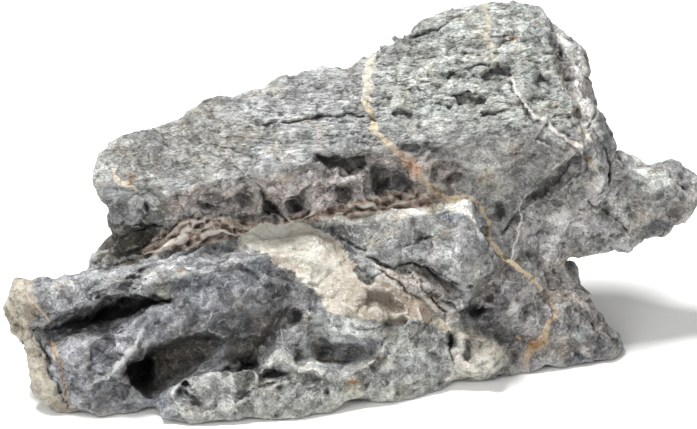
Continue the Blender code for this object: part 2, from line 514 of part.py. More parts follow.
def weather(obj):
    """Moves the surface: slow warping, bedding steps, dissolved scallops and the named dents."""
    data = obj.data
    points = np.empty(len(data.vertices) * 3)
    normals = np.empty(len(data.vertices) * 3)
    data.vertices.foreach_get("co", points)
    data.vertex_normals.foreach_get("vector", normals)
    points = points.reshape(-1, 3)
    normals = normals.reshape(-1, 3)
    moved = points.copy()
    for i, (point, normal) in enumerate(zip(points, normals)):
        place = Vector(point)
        warp = noise.noise_vector(place / WARP_SPAN) * WARP_REACH
        lumps = LUMP_DEPTH * noise.fractal(place / LUMP_SPAN, 0.7, 2.2, 2)
        lift = SWELL + bed_lift(place) + scallop_lift(place) + lumps
        moved[i] = point + np.array(warp) + lift * normal
    for along, up, half_length, half_height, depth in DENTS.values():
        away = ((points[:, 0] - along) / half_length) ** 2 + ((points[:, 1] - up) / half_height) ** 2
        facing = np.clip(-2.5 * normals[:, 2] + 0.4, 0.0, 1.0)
        moved[:, 2] += depth * facing * np.clip(1.0 - away, 0.0, 1.0) ** 1.5
    data.vertices.foreach_set("co", moved.ravel())
    data.update()


def thin_out(obj, triangles):
    """Brings the mesh down to the wanted number of triangles."""
    now = sum(len(face.vertices) - 2 for face in obj.data.polygons)
    decimate = obj.modifiers.new("thin_out", "DECIMATE")
    decimate.decimate_type = "COLLAPSE"
    decimate.ratio = triangles / now
    decimate.use_collapse_triangulate = True
    bake_modifiers(obj)


def dress(obj):
    """Gives the stone its material."""
    material = bpy.data.materials.new(MATERIAL)
    material.use_nodes = True
    shader = material.node_tree.nodes["Principled BSDF"]
    shader.inputs["Base Color"].default_value = STONE_GREY
    shader.inputs["Roughness"].default_value = STONE_ROUGHNESS
    shader.inputs["Metallic"].default_value = 0.0
    obj.data.materials.append(material)


def hollow_underside(obj):
    """Dissolves shallow hollows into the underside, between which broad pads are left to stand on."""
    reach = UNDERSIDE_BAND * MM
    for vert in obj.data.vertices:
        pattern = noise.noise(vert.co / (UNDERSIDE_SPAN * MM))
        lift = UNDERSIDE_HOLLOW * MM * smooth_step(0.0, 0.3, pattern)
        vert.co.z += lift * (1.0 - smooth_step(0.0, reach, vert.co.z))


def seat_on_floor(obj, height):
    """Flattens all that lies below the height, so that the stone rests on flat pads, and puts them at z = 0."""
    for vert in obj.data.vertices:
        vert.co.z = max(vert.co.z - height, 0.0)


def centre(obj):
    """Puts the middle of the outer box over the origin, and returns the shift in metres."""
    corners = np.array([vert.co for vert in obj.data.vertices])
    shift = -(corners.min(axis=0) + corners.max(axis=0)) / 2.0
    shift[2] = 0.0
    obj.data.transform(Matrix.Translation(shift))
    return shift


def main():
    clear_scene()
    noise.seed_set(WARP_SEED)
    mesh = bmesh.new()
    for lines in MASSES.values():
        add_mass(mesh, list(lines.values()))
    add_hull(mesh, BODY)
    stone = new_object(NAME, mesh)
    fuse(stone, FUSE_VOXEL)
    for name, lines in HOLLOWS.items():
        cut_hollow(stone, name, list(lines.values()))
    weather(stone)
    fuse(stone, FUSE_VOXEL)
    lean = Matrix.Rotation(-FACE_LEAN, 4, "X")
    swap = Matrix(((1, 0, 0, 0), (0, 0, 1, 0), (0, 1, 0, 0), (0, 0, 0, 1)))
    stone.data.transform(Matrix.Scale(MM, 4) @ lean @ swap)
    stone.data.flip_normals()
    hollow_underside(stone)
    seat_on_floor(stone, PAD_CUT * MM)
    thin_out(stone, TRIANGLES)
    seat_on_floor(stone, PAD_SNAP * MM)
    dress(stone)
    shift = centre(stone)
    shift[2] = -PAD_CUT * MM
    print("shift from the face frame's corner, m:", [round(float(part), 5) for part in shift])
    return shift


SHIFT = main()
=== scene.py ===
# %% [markdown]
# # A seiryu stone
#
# This lesson dresses one natural thing: a seiryu stone, the layered blue-grey limestone that aquarium keepers
# prize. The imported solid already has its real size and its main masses: an upper slab that overhangs a lower
# one, a head, an arm and a foot. What is left is what weather and water do on a smaller scale, and that is
# modelled here: beds that stand out as thin steps, dissolved scallops and pits, cracks, and the calcite that
# healed old breaks as veins.

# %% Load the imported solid
import functools
import math

import bmesh
import bpy
import numpy as np
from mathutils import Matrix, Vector, noise
from mathutils.bvhtree import BVHTree


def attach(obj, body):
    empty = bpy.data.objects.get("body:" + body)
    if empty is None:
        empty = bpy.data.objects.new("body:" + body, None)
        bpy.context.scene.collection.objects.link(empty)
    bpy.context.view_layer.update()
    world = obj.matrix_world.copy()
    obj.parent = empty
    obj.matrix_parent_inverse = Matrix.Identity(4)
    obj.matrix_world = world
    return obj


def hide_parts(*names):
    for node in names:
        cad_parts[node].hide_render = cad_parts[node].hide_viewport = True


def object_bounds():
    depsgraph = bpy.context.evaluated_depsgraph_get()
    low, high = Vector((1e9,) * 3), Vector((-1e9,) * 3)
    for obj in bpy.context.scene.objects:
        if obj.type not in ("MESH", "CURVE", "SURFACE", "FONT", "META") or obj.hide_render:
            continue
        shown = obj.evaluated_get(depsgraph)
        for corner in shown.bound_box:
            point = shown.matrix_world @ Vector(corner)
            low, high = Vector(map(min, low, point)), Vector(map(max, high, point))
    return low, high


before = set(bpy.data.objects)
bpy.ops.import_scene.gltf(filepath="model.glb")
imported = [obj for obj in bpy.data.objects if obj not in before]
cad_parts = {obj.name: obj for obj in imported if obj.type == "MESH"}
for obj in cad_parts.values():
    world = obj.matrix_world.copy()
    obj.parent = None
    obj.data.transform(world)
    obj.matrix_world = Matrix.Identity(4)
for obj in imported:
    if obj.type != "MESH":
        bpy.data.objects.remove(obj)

NODE = "seiryu_rock"
MM = 0.001
cad_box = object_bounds()
print("the solid's box, m:", cad_box)

# %% [markdown]
# ## The face frame
#
# A stone has no square edges to measure from, so its features are laid out on its face: `along` the stone,
# `up` its face and `into` it, in millimetres, from the stone's lower left corner. The face leans back by 25
# degrees. Every crack, pit and vein below is drawn in this frame, and then belongs to the stone from any
# side.

# %% Face frame
FACE_LEAN = math.radians(25.0)
FACE_CORNER = Vector((-0.17600, -0.08673, -0.00060))
lean_cos = math.cos(FACE_LEAN)
lean_sin = math.sin(FACE_LEAN)


def to_face(points):
    """Turns an array of places in metres into face-frame millimetres."""
    across, deep, high = ((points - np.array(FACE_CORNER)) / MM).T
    return np.stack([across, deep * lean_sin + high * lean_cos, deep * lean_cos - high * lean_sin], axis=1)


def from_face(faced):
    """Turns an array of face-frame millimetres into places in metres."""
    along, up, into = faced.T
    placed = np.stack([along, up * lean_sin + into * lean_cos, up * lean_cos - into * lean_sin], axis=1)
    return placed * MM + np.array(FACE_CORNER)


# %% [markdown]
# ## The camera, the light and the floor
#
# The stone is seen from the front and from 25 degrees above, through a long lens, so that its proportions
# stay true. The camera comes first, because what it sees decides where detail matters most. The light is a
# studio's: a broad lamp above and in front, a weak one from the right, and pale surroundings.

# %% Camera
LENS_MM = 413.2
CAMERA_AWAY = 4.0
FACE_MIDDLE = np.array([[174.25, 107.25, 40.0]])
camera_data = bpy.data.cameras.new("studio_camera")
camera_data.lens = LENS_MM
camera_data.sensor_width = 36.0
camera_data.clip_end = 60.0
camera = bpy.data.objects.new("studio_camera", camera_data)
bpy.context.scene.collection.objects.link(camera)
look_at = Vector(from_face(FACE_MIDDLE)[0])
towards_camera = Vector((0.0, -lean_cos, lean_sin))
camera.location = look_at + towards_camera * CAMERA_AWAY
camera.rotation_mode = "QUATERNION"
camera.rotation_quaternion = (-towards_camera).to_track_quat("-Z", "Y")
bpy.context.scene.camera = camera
print("camera at", [round(part, 3) for part in camera.location])


# %% Lamps and surroundings
def add_lamp(name, place, aim, size, power):
    lamp_data = bpy.data.lights.new(name, "AREA")
    lamp_data.shape = "DISK"
    lamp_data.size = size
    lamp_data.energy = power
    lamp = bpy.data.objects.new(name, lamp_data)
    bpy.context.scene.collection.objects.link(lamp)
    lamp.location = place
    lamp.rotation_mode = "QUATERNION"
    lamp.rotation_quaternion = (Vector(aim) - Vector(place)).to_track_quat("-Z", "Y")


STONE_HEART = (0.0, 0.0, 0.08)
SURROUNDINGS = 0.38
add_lamp("key_lamp", (-0.45, 0.05, 1.6), aim=STONE_HEART, size=0.5, power=42.0)
add_lamp("front_lamp", (-0.7, -1.3, 1.0), aim=STONE_HEART, size=0.9, power=12.0)
add_lamp("side_lamp", (1.3, -0.9, 0.7), aim=STONE_HEART, size=0.8, power=4.0)

world = bpy.data.worlds.new("pale_surroundings")
world.use_nodes = True
world.node_tree.nodes["Background"].inputs["Color"].default_value = (1.0, 1.0, 1.0, 1.0)
world.node_tree.nodes["Background"].inputs["Strength"].default_value = SURROUNDINGS
bpy.context.scene.world = world
bpy.context.scene.view_settings.view_transform = "Standard"
bpy.context.scene.view_settings.look = "None"

# %% [markdown]
# ## One small function for shader and geometry nodes
#
# Both kinds of tree are built from the same call: a word for the node, what goes into its sockets, and its
# settings. A socket takes either a value or the output of an earlier node. The trees have a few hundred
# nodes, and short words read more easily than Blender's own names, so a table says what each one stands for.

# %% Node helper
# Any word that isn't in the table and isn't a node's own type is an operation of the Math node or, after
# "vector_", of the Vector Math node.
NODE_WORDS = {
    "attribute": ("ShaderNodeAttribute", {}),
    "stored_value": ("GeometryNodeInputNamedAttribute", {}),
    "cells": ("ShaderNodeTexVoronoi", {}),
    "noise": ("ShaderNodeTexNoise", {}),
    "mix": ("ShaderNodeMix", {"data_type": "RGBA"}),
    "tint": ("ShaderNodeMix", {"data_type": "RGBA", "blend_type": "MULTIPLY"}),
    "smooth_step": ("ShaderNodeMapRange", {"interpolation_type": "SMOOTHSTEP"}),
    "to_xyz": ("ShaderNodeSeparateXYZ", {}),
    "from_xyz": ("ShaderNodeCombineXYZ", {}),
}


def add_node(tree, word, *values, **named):
    """Adds a node and returns its first live output.

    The values fill its live sockets in order. A name with a capital is a socket too, and any other name is a
    setting.
    """
    if word in NODE_WORDS:
        kind, settings = NODE_WORDS[word]
    elif "Node" in word:
        kind, settings = word, {}
    elif word.startswith("vector_"):
        kind, settings = "ShaderNodeVectorMath", {"operation": word[len("vector_"):].upper()}
    else:
        kind, settings = "ShaderNodeMath", {"operation": word.upper()}
    node = tree.nodes.new(kind)
    sockets = {name: value for name, value in named.items() if name[0].isupper()}
    for setting, value in {**settings, **named}.items():
        if setting not in sockets:
            setattr(node, setting, value)
    live = [socket for socket in node.inputs if socket.enabled]
    filled = list(zip(live, values))
    filled += [(socket, sockets[socket.name]) for socket in live if socket.name in sockets]
    for socket, value in filled:
        if isinstance(value, bpy.types.NodeSocket):
            tree.links.new(value, socket)
        else:
            socket.default_value = value
    return next((socket for socket in node.outputs if socket.enabled), None)


def linear(hex_colour):
    """Turns an sRGB hex colour such as "8a8c8b" into the linear values that a socket takes."""
    parts = [int(hex_colour[i:i + 2], 16) / 255.0 for i in (0, 2, 4)]
    return tuple(p / 12.92 if p <= 0.04045 else ((p + 0.055) / 1.055) ** 2.4 for p in parts) + (1.0,)


# %% Floor
floor_mesh = bpy.data.meshes.new("studio_floor")
FLOOR_REACH = 12.0
floor_mesh.from_pydata(
    [(-FLOOR_REACH, -FLOOR_REACH, 0.0), (FLOOR_REACH, -FLOOR_REACH, 0.0),
     (FLOOR_REACH, FLOOR_REACH, 0.0), (-FLOOR_REACH, FLOOR_REACH, 0.0)], [], [(0, 1, 2, 3)])
studio_floor = bpy.data.objects.new("studio_floor", floor_mesh)
bpy.context.scene.collection.objects.link(studio_floor)
paper = bpy.data.materials.new("white_paper")
paper.use_nodes = True
paper_shader = paper.node_tree.nodes["Principled BSDF"]
paper_shader.inputs["Roughness"].default_value = 0.9
paper_place = add_node(paper.node_tree, "ShaderNodeTexCoord").node.outputs["Object"]
paper_grain = add_node(paper.node_tree, "noise", paper_place, 6.0, 2.0)
paper_tone = add_node(paper.node_tree, "mix", paper_grain, linear("f4f4f2"), linear("f8f8f6"))
paper.node_tree.links.new(paper_tone, paper_shader.inputs["Base Color"])
floor_mesh.materials.append(paper)

# %% [markdown]
# ## A finer skin over the solid
#
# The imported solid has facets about 7 mm long, which is right for its masses and too coarse for weathering. A
# voxel remesh lays an even grid of small faces over a copy of it, first at 1.5 mm and then at 1.1 mm, and
# smoothing takes out the facets while it keeps the masses. The solid itself is never touched.

# %% Copy and remesh the solid
ROUGH_VOXEL = 1.5
SKIN_VOXEL = 1.1
FACET_SMOOTHING = 4


def bake_modifiers(obj):
    graph = bpy.context.evaluated_depsgraph_get()
    baked = bpy.data.meshes.new_from_object(obj.evaluated_get(graph))
    obj.modifiers.clear()
    obj.data = baked


def remesh(obj, voxel, smoothing=0):
    grid = obj.modifiers.new("grid", "REMESH")
    grid.mode = "VOXEL"
    grid.voxel_size = voxel * MM
    if smoothing:
        smooth = obj.modifiers.new("smooth", "SMOOTH")
        smooth.factor = 0.5
        smooth.iterations = smoothing
    bake_modifiers(obj)


def coordinates(obj):
    points = np.empty(len(obj.data.vertices) * 3)
    obj.data.vertices.foreach_get("co", points)
    return points.reshape(-1, 3)


def normals(obj):
    directions = np.empty(len(obj.data.vertices) * 3)
    obj.data.vertex_normals.foreach_get("vector", directions)
    return directions.reshape(-1, 3)


def move_to(obj, points):
    obj.data.vertices.foreach_set("co", points.ravel())
    obj.data.update()


def edge_ends(obj):
    ends = np.empty(len(obj.data.edges) * 2, np.int64)
    obj.data.edges.foreach_get("vertices", ends)
    return ends.reshape(-1, 2)


def spread(obj, values, rounds):
    """Averages values (one row a point) over the neighbours of each point, round after round."""
    starts, stops = edge_ends(obj).T
    count = len(obj.data.vertices)
    links = 1.0 + np.bincount(starts, minlength=count) + np.bincount(stops, minlength=count)
    table = values.reshape(count, -1).astype(float)
    for _ in range(rounds):
        total = table.copy()
        for k in range(table.shape[1]):
            total[:, k] += np.bincount(starts, table[stops, k], count)
            total[:, k] += np.bincount(stops, table[starts, k], count)
        table = total / links[:, None]
    return table.reshape(values.shape)


stone_mesh = bpy.data.objects[NODE].data.copy()
loose = bmesh.new()
loose.from_mesh(stone_mesh)
bmesh.ops.remove_doubles(loose, verts=loose.verts, dist=0.01 * MM)
loose.to_mesh(stone_mesh)
loose.free()
stone_mesh.materials.clear()
stone = bpy.data.objects.new("limestone_skin", stone_mesh)
bpy.context.scene.collection.objects.link(stone)
remesh(stone, ROUGH_VOXEL, FACET_SMOOTHING)
print("rough skin:", len(stone.data.vertices), "points")


# %% [markdown]
# ## Drawing on the face
#
# Features are drawn as paths and outlines in face-frame millimetres, as an illustrator would draw them on the
# stone. Two measures turn a drawing into carving: how far a point is from a path, and how far it is inside an
# outline. Only what can be seen from the front is carved this way, so nothing is cut into hidden walls.

# %% Distance to a path and to an outline
def path_distance(spots, path):
    """For places (along, up): the distance from a path, the length along it, and the side, +1 on its left."""
    best = np.full(len(spots), 1e9)
    reached = np.zeros(len(spots))
    side = np.ones(len(spots))
    gone = 0.0
    for start, end in zip(path, path[1:]):
        start = np.array(start, float)
        run = np.array(end, float) - start
        length = np.hypot(*run)
        offset = spots - start
        place = np.clip(offset @ run / length ** 2, 0.0, 1.0)
        gap = offset - place[:, None] * run
        away = np.hypot(gap[:, 0], gap[:, 1])
        nearer = away < best
        best[nearer] = away[nearer]
        reached[nearer] = gone + place[nearer] * length
        side[nearer] = np.sign(run[0] * offset[:, 1] - run[1] * offset[:, 0])[nearer]
        gone += length
    return best, reached, side


def inside_distance(spots, outline):
    """The distance inside an outline of (along, up) corners, negative outside it."""
    corners = list(outline)
    away, _, _ = path_distance(spots, corners + corners[:1])
    crossings = np.zeros(len(spots), int)
    for (x0, y0), (x1, y1) in zip(corners, corners[1:] + corners[:1]):
        if y0 == y1:
            continue
        spans = (y0 > spots[:, 1]) != (y1 > spots[:, 1])
        meets = x0 + (spots[:, 1] - y0) * (x1 - x0) / (y1 - y0)
        crossings += spans & (spots[:, 0] < meets)
    return np.where(crossings % 2 == 1, away, -away)


def smooth_step(low, high, values):
    t = np.clip((values - low) / (high - low), 0.0, 1.0)
    return t * t * (3.0 - 2.0 * t)


SLOW_SPAN, SLOW_WAVER = 9.0, 2.4  # mm: how long a drawn line's slow bends are, and how far they go
QUICK_SPAN, QUICK_WAVER = 3.2, 0.9


def noise_over(faced, span, start):
    """Smooth noise from -1 to 1, with lumps about as long as the span; each start gives other lumps."""
    origin = Vector((start, 2.0 * start, -start))
    return np.array([noise.noise(Vector(point) / span + origin) for point in faced])


def drawn_spots(faced):
    """Where each point is read in a drawing: a little off its place, so that drawn lines waver."""
    slow = np.stack([noise_over(faced, SLOW_SPAN, 11.3), noise_over(faced, SLOW_SPAN, 27.7)], axis=1)
    quick = np.stack([noise_over(faced, QUICK_SPAN, 41.1), noise_over(faced, QUICK_SPAN, 57.9)], axis=1)
    return faced[:, :2] + SLOW_WAVER * slow + QUICK_WAVER * quick


RAY_START = 1.2  # mm off the skin, so that a ray doesn't meet the faces around its own point


def seen_from_front(obj):
    """1 where nothing stands between a point and the viewer in front of the face, else 0."""
    graph = bpy.context.evaluated_depsgraph_get()
    tree = BVHTree.FromObject(obj, graph)
    view = -towards_camera
    seen = np.zeros(len(obj.data.vertices))
    for i, vert in enumerate(obj.data.vertices):
        hit = tree.ray_cast(vert.co - view * (RAY_START * MM), -view)
        seen[i] = 1.0 if hit[0] is None else 0.0
    return seen


# %% [markdown]
# ## Hollows, grooves and ridges
#
# Water opened the stone along its weak beds: a long crevice and a cave-like pit in the lower slab, sharp
# niches under the lip of the upper one, and grooves where a crack let the water run. Each hollow is an
# outline with a floor at a real depth, and its rim is kept crisp, because the thin overhanging rims are what
# the eye knows this stone by. Ridges are the reverse: cemented lines that dissolved more slowly.

# %% Hollows with a crisp rim
# name: (depth mm, how wide the rim's wall is mm, outline)
HOLLOWS = {
    "crevice": (26.0, 1.2, [
        (19.5, 48.5), (36.5, 54.8), (51, 60), (65.5, 63), (81.5, 66.2), (86.5, 66), (82, 63),
        (75.5, 60.8), (65.5, 57.4), (57, 54.2), (47, 53), (36.5, 50.2)]),
    "crevice_shelf": (6.0, 6.0, [
        (20, 48), (36.5, 53), (51, 57), (65.5, 60), (78, 63), (72, 57.5), (62, 51.5), (52, 47.5),
        (43.5, 44.5), (29, 41.5), (21, 43)]),
    "big_pit": (12.0, 3.5, [
        (60, 30.5), (62.5, 33.5), (70, 39), (78.5, 43.5), (87, 46.5), (99, 49.2), (107.5, 48.5),
        (111.7, 45), (111.2, 40.5), (102, 34), (93, 27.5), (87, 23), (78.5, 17.3), (73.5, 15),
        (72, 18.7), (65.5, 23.8), (61, 26.7)]),
    "pit_left_hole": (20.0, 4.5, [
        (60, 30.5), (62.5, 33.5), (70, 38.5), (76, 40), (78, 33), (76, 24), (73.5, 16), (72, 18.7),
        (65.5, 23.8), (61, 26.7)]),
    "left_dish": (4.0, 8.0, [(44, 45), (56, 48), (64, 44), (60, 35), (50, 29), (43, 33)]),
    "left_foot_dish": (2.2, 6.0, [(52, 25), (60, 28), (66, 22), (62, 13), (54, 14)]),
    "niche_under_lip": (11.0, 1.6, [
        (152, 136.0), (157, 137.5), (165, 138.0), (182, 138), (184, 133), (182, 129), (177, 126.5),
        (171, 128.5), (160, 132.5)]),
    "niche_middle": (9.0, 5.0, [
        (184.5, 132), (194, 133), (202.5, 129), (208.5, 124), (207.5, 119), (201, 114.5), (195, 117),
        (189, 118), (184.5, 122)]),
    "niche_by_vein": (7.5, 5.0, [
        (213, 131), (220, 134), (229, 134), (235, 129.5), (232, 124), (223.5, 119.5), (215, 124)]),
    "niche_small": (4.0, 2.0, [(200, 144), (208, 144.5), (212, 141), (206, 138), (200.5, 140.5)]),
    "scoop_right": (10.0, 5.5, [
        (143, 112), (146, 117.5), (152, 118.5), (155, 114), (154, 108), (149, 104.5), (144.5, 105.5)]),
    "scoop_middle": (7.5, 4.5, [(129, 119), (134, 121), (138, 117), (139, 111), (136, 107), (131, 111)]),
    "scoop_left": (6.0, 4.5, [(112, 117), (118, 119.5), (126, 118), (128, 112), (124, 108.5), (114, 110)]),
    "scoop_far_left": (4.5, 4.5, [(92, 114), (98, 117.5), (107, 116.5), (109, 111), (100, 108.5)]),
    "scoop_far_right": (7.0, 5.0, [
        (160, 121), (166, 124), (173, 122.5), (177, 117), (172, 113), (163, 114.5)]),
    "slab_foot_hollow": (4.5, 2.0, [(116, 108.5), (123, 109), (131, 105), (127, 101), (118, 103.5)]),
    "calcite_mouth": (6.0, 1.8, [(189, 55), (195, 57), (202, 56), (203, 53.5), (197, 52.5), (191, 53)]),
    "calcite_inclusion": (1.6, 1.6, [
        (177, 80), (184, 79.5), (188, 76), (186, 73.5), (181, 72.8), (179, 75.5)]),
    "calcite_scoop": (5.0, 4.5, [
        (181, 70), (188, 71), (196, 67), (203, 61), (203, 57.5), (196, 58.5), (188, 60), (184, 58.5),
        (181, 62)]),
    "block_cavity": (6.0, 2.8, [(229, 60), (235, 63), (243, 61.5), (243, 57), (235, 56)]),
    "block_notch": (4.0, 3.5, [(236, 70), (243, 72), (248, 69), (245, 64), (238, 65)]),
    "facet_under_head": (4.5, 1.4, [
        (289.5, 142), (290.5, 128.5), (284, 121), (274, 117), (262, 111), (253, 100), (249.5, 95),
        (256, 106), (264, 115), (276, 127)]),
    "scoop": (5.5, 4.5, [
        (144, 39), (149, 48), (159, 52), (172.5, 49), (188, 46.5), (192, 40), (183, 32.5), (172.5, 29),
        (159, 31), (149, 33)]),
    "head_pit": (6.0, 3.0, [
        (240, 174), (243.5, 181), (250, 184), (255, 182), (256, 177), (252, 171.5), (244, 170.5)]),
    "head_pit_left": (4.5, 2.5, [(218, 174), (222, 178.5), (229, 179), (234, 177), (230, 173)]),
    "head_pit_upper": (3.5, 2.0, [(249, 192), (252, 198), (258, 199.5), (259, 195.5), (254, 191)]),
    "face_pit_long": (5.5, 2.5, [
        (225, 165), (229, 169.5), (236, 167), (246, 163.5), (243, 160.5), (233, 161), (227, 161.5)]),
    "face_pit_low": (4.0, 2.2, [(236, 156), (245, 159), (254, 158.5), (252, 155), (243, 154)]),
    "face_pit_vein": (3.0, 2.5, [
        (194, 158), (199, 161.5), (205, 159.5), (208, 155), (203, 150.5), (197.5, 154)]),
    "face_pit_high": (2.5, 1.4, [(205, 189), (208, 191), (212, 189), (210.5, 186.5)]),
    "face_pit_edge": (4.5, 2.5, [(265, 172), (270, 178), (276.5, 176), (276, 170), (269, 168.5)]),
    "face_pit_white": (2.6, 2.0, [(263, 163), (268, 167.5), (274, 165.5), (273, 161), (266, 160)]),
    "left_pit": (1.8, 1.2, [(98.5, 136.5), (101, 138), (103, 136), (101, 134)]),
    "left_pit_right": (1.8, 1.4, [(106, 133.5), (108.5, 135), (110.5, 132.5), (108, 131)]),
    "dimple": (5.5, 4.2, [(143.5, 57), (146, 61), (150, 62), (152, 57), (150, 52), (147, 50), (144, 51)]),
    "ledge_cup": (3.6, 2.6, [(90, 24), (94, 25.5), (98, 24), (97, 21.5), (92, 20.5)]),
    "ledge_cup_low": (4.6, 4.0, [(88, 20), (91, 21), (97, 19.5), (101, 17), (98, 14), (92, 15), (89, 16)]),
    "ledge_hole": (4.0, 1.8, [(95, 15), (99, 16.3), (101, 14.5), (99, 12.8), (96, 13)]),
    "ledge_cup_crest": (3.0, 2.2, [(111.5, 29), (113.5, 31), (116, 29), (115, 25.5), (112.5, 25)]),
    "ledge_cup_high": (7.0, 4.6, [
        (130.5, 29.5), (133, 32.5), (138, 32.8), (142, 30), (145.5, 26), (142, 24.5), (134, 24.5),
        (131, 26)]),
    "ledge_cup_middle": (6.0, 4.6, [
        (118.5, 28), (121, 30.5), (126, 30), (129.5, 27), (128, 22), (124, 19), (120, 19.5), (118.5, 23)]),
    "ledge_cup_small": (3.5, 2.0, [(138, 20), (140, 22), (142.5, 21), (141.5, 18.5), (139, 18.5)]),
    "ledge_pit": (3.0, 1.8, [(162, 20), (164, 22), (165.5, 19), (164, 17), (162, 17.5)]),
    "ledge_pit_far": (3.0, 1.8, [(205, 23), (208, 25), (210, 23), (207, 21.5)]),
    "ledge_bowl_far": (2.6, 3.0, [(211.5, 42.5), (215, 42.5), (218.5, 38), (216, 35), (212.5, 37)]),
    "behind_crest": (9.0, 2.5, [
        (120.5, 32), (124, 35), (129, 35.5), (131.5, 32.5), (128, 30.8), (123, 30.8)]),
    "fold_hollow_left": (3.0, 2.0, [(51, 71), (54, 74), (58, 74.5), (56, 72), (52, 70)]),
    "fold_hollow_low": (2.4, 1.8, [(61, 71), (65, 73.5), (70, 73), (68, 70.5), (63, 69.8)]),
    "fold_hollow_middle": (4.0, 2.2, [(64, 75), (68, 79), (73, 81.5), (75, 79), (72, 75), (69, 74.5)]),
    "fold_hollow_high": (3.4, 2.0, [(72, 81), (75, 84.3), (79, 84.8), (79.5, 81), (75, 79.5)]),
    "nodule_bowl": (4.5, 3.0, [
        (230, 42), (234, 45.5), (239.5, 43), (242, 38), (239, 33.5), (232.5, 33), (229.5, 37)]),
    "nodule_slot": (6.0, 1.4, [(224.5, 50), (228, 49), (228.5, 41), (225.5, 38.5), (224, 42)]),
    "head_foot_hole": (3.5, 1.8, [(241, 116.5), (245, 116), (247, 110.5), (243.5, 108.5)]),
}

# Painted shade: how much each listed hollow's colour is darkened, standing in for the shade that falls in it.
HOLLOW_SHADE = {"crevice": 0.9, "crevice_shelf": 0.15, "big_pit": 0.12, "pit_left_hole": 0.4,
               "niche_under_lip": 0.12, "niche_middle": 0.12, "niche_by_vein": 0.1, "face_pit_long": 0.1,
               "face_pit_low": 0.1, "face_pit_vein": 0.1, "face_pit_edge": 0.15, "head_pit_left": 0.15,
               "ledge_hole": 0.45, "behind_crest": 0.5,
               "ledge_cup": 0.22, "ledge_cup_low": 0.25, "ledge_cup_crest": 0.35, "ledge_cup_middle": 0.3,
               "ledge_cup_high": 0.35, "ledge_cup_small": 0.35, "ledge_pit": 0.4, "ledge_pit_far": 0.35,
               "ledge_bowl_far": 0.15, "dimple": 0.25, "fold_hollow_middle": 0.3, "fold_hollow_high": 0.25,
               "block_cavity": 0.45, "head_pit": 0.3, "nodule_slot": 0.5, "scoop_right": 0.12,
               "scoop_middle": 0.12, "scoop_left": 0.15, "calcite_inclusion": 0.3, "calcite_scoop": 0.34,
               "calcite_mouth": 0.5}

# name: (half width mm, depth mm, path)
GROOVES = {
    "long_bed_crack": (1.6, 3.2, [
        (122, 150), (125, 151.5), (132, 151), (139, 153.5), (147, 153), (155, 155.5), (165, 156),
        (180, 155.5), (186, 156.5)]),
    "lower_bed_crack": (1.2, 1.8, [(103.5, 141), (111, 141), (122.5, 137), (131, 134.5), (141, 135.5)]),
    "head_bed_crack": (1.6, 2.4, [
        (200.5, 170), (208, 172), (220, 175), (227.5, 178), (237, 181), (249.5, 183.5)]),
    "head_hair_crack": (1.0, 1.4, [(226.5, 186), (237, 190.5), (243.5, 193.5)]),
    "top_crevice": (2.6, 3.2, [(201.5, 196), (213, 199), (220.5, 201), (226, 205), (231, 209)]),
    "vein_shadow": (1.4, 2.2, [(252.5, 177), (255.8, 170), (259.8, 164), (263.5, 158), (271, 151)]),
    "chin_crack": (1.3, 5.0, [
        (181, 86.5), (184, 85.3), (189, 85), (192, 83.2), (199, 82.5), (207, 83), (213, 81), (219, 76.5),
        (225, 74.5), (230, 72.5), (240, 70)]),
    "chin_crack_low": (1.3, 2.8, [(201, 81), (208, 74.5), (215, 66), (222, 60), (226, 55.5)]),
    "fan_groove_right": (1.1, 2.2, [(208, 77), (214, 71.5), (221, 65), (228, 59)]),
    "block_side": (1.4, 3.0, [(165, 101), (172, 95), (180, 91), (186, 87)]),
    "fan_groove_left": (2.6, 2.0, [(189, 81.5), (199, 74), (207, 66), (214, 59.3)]),
    "arm_joint": (2.0, 3.2, [(297, 150), (301, 143), (306, 133), (304, 124), (300, 118)]),
    "slab_groove": (3.0, 6.0, [
        (127.5, 124), (131, 118), (134.5, 113), (139, 108.5), (143.5, 105), (147, 103.5)]),
    "nose_gap": (1.5, 5.0, [(66, 100), (71, 101.4), (76, 102.2), (81, 101.2), (84, 99.4)]),
    "nose_seam": (1.2, 3.0, [(60, 88), (66, 89.5), (72, 91.3), (78, 93.7), (83, 94.5)]),
    "nose_groove": (1.8, 3.0, [(73, 119.5), (73.5, 110.5), (75, 106.5)]),
    "block_arc": (1.5, 2.6, [(200.5, 88), (204, 91.5), (208, 94), (213.5, 95.5), (219, 96)]),
    "shoulder_crack": (1.3, 2.0, [(290.5, 116), (302, 110.5), (308, 105.5), (318.5, 94)]),
    "foot_crack": (1.0, 1.4, [(273.5, 72.5), (281, 70.5), (289, 69)]),
    "head_undercut": (1.0, 1.4, [
        (292, 138.5), (285, 131), (277.5, 123), (270, 115.5), (261, 109), (254, 101.5), (250, 94.5)]),
    "fan_edge": (1.4, 3.0, [(207.5, 79), (211, 73), (214, 69), (220.5, 66), (229, 59.5), (236, 58)]),
    "ledge_groove": (1.7, 2.8, [
        (118.5, 16), (121, 16), (124.5, 18.5), (129, 22), (136, 23.3), (142, 23.3)]),
    "crust_seam": (2.6, 4.0, [(20, 47), (23, 39.5), (27, 28.5), (31, 19.5), (36, 10.5)]),
    "tan_seam": (1.0, 0.8, [(28.5, 42.5), (30.5, 34.5), (33, 23.5), (36, 14.5), (39.5, 7.5)]),
    "nodule_gap": (1.6, 3.0, [(224.5, 50), (227, 44.5), (225.5, 38.5), (226, 30.5), (226, 24.5)]),
}

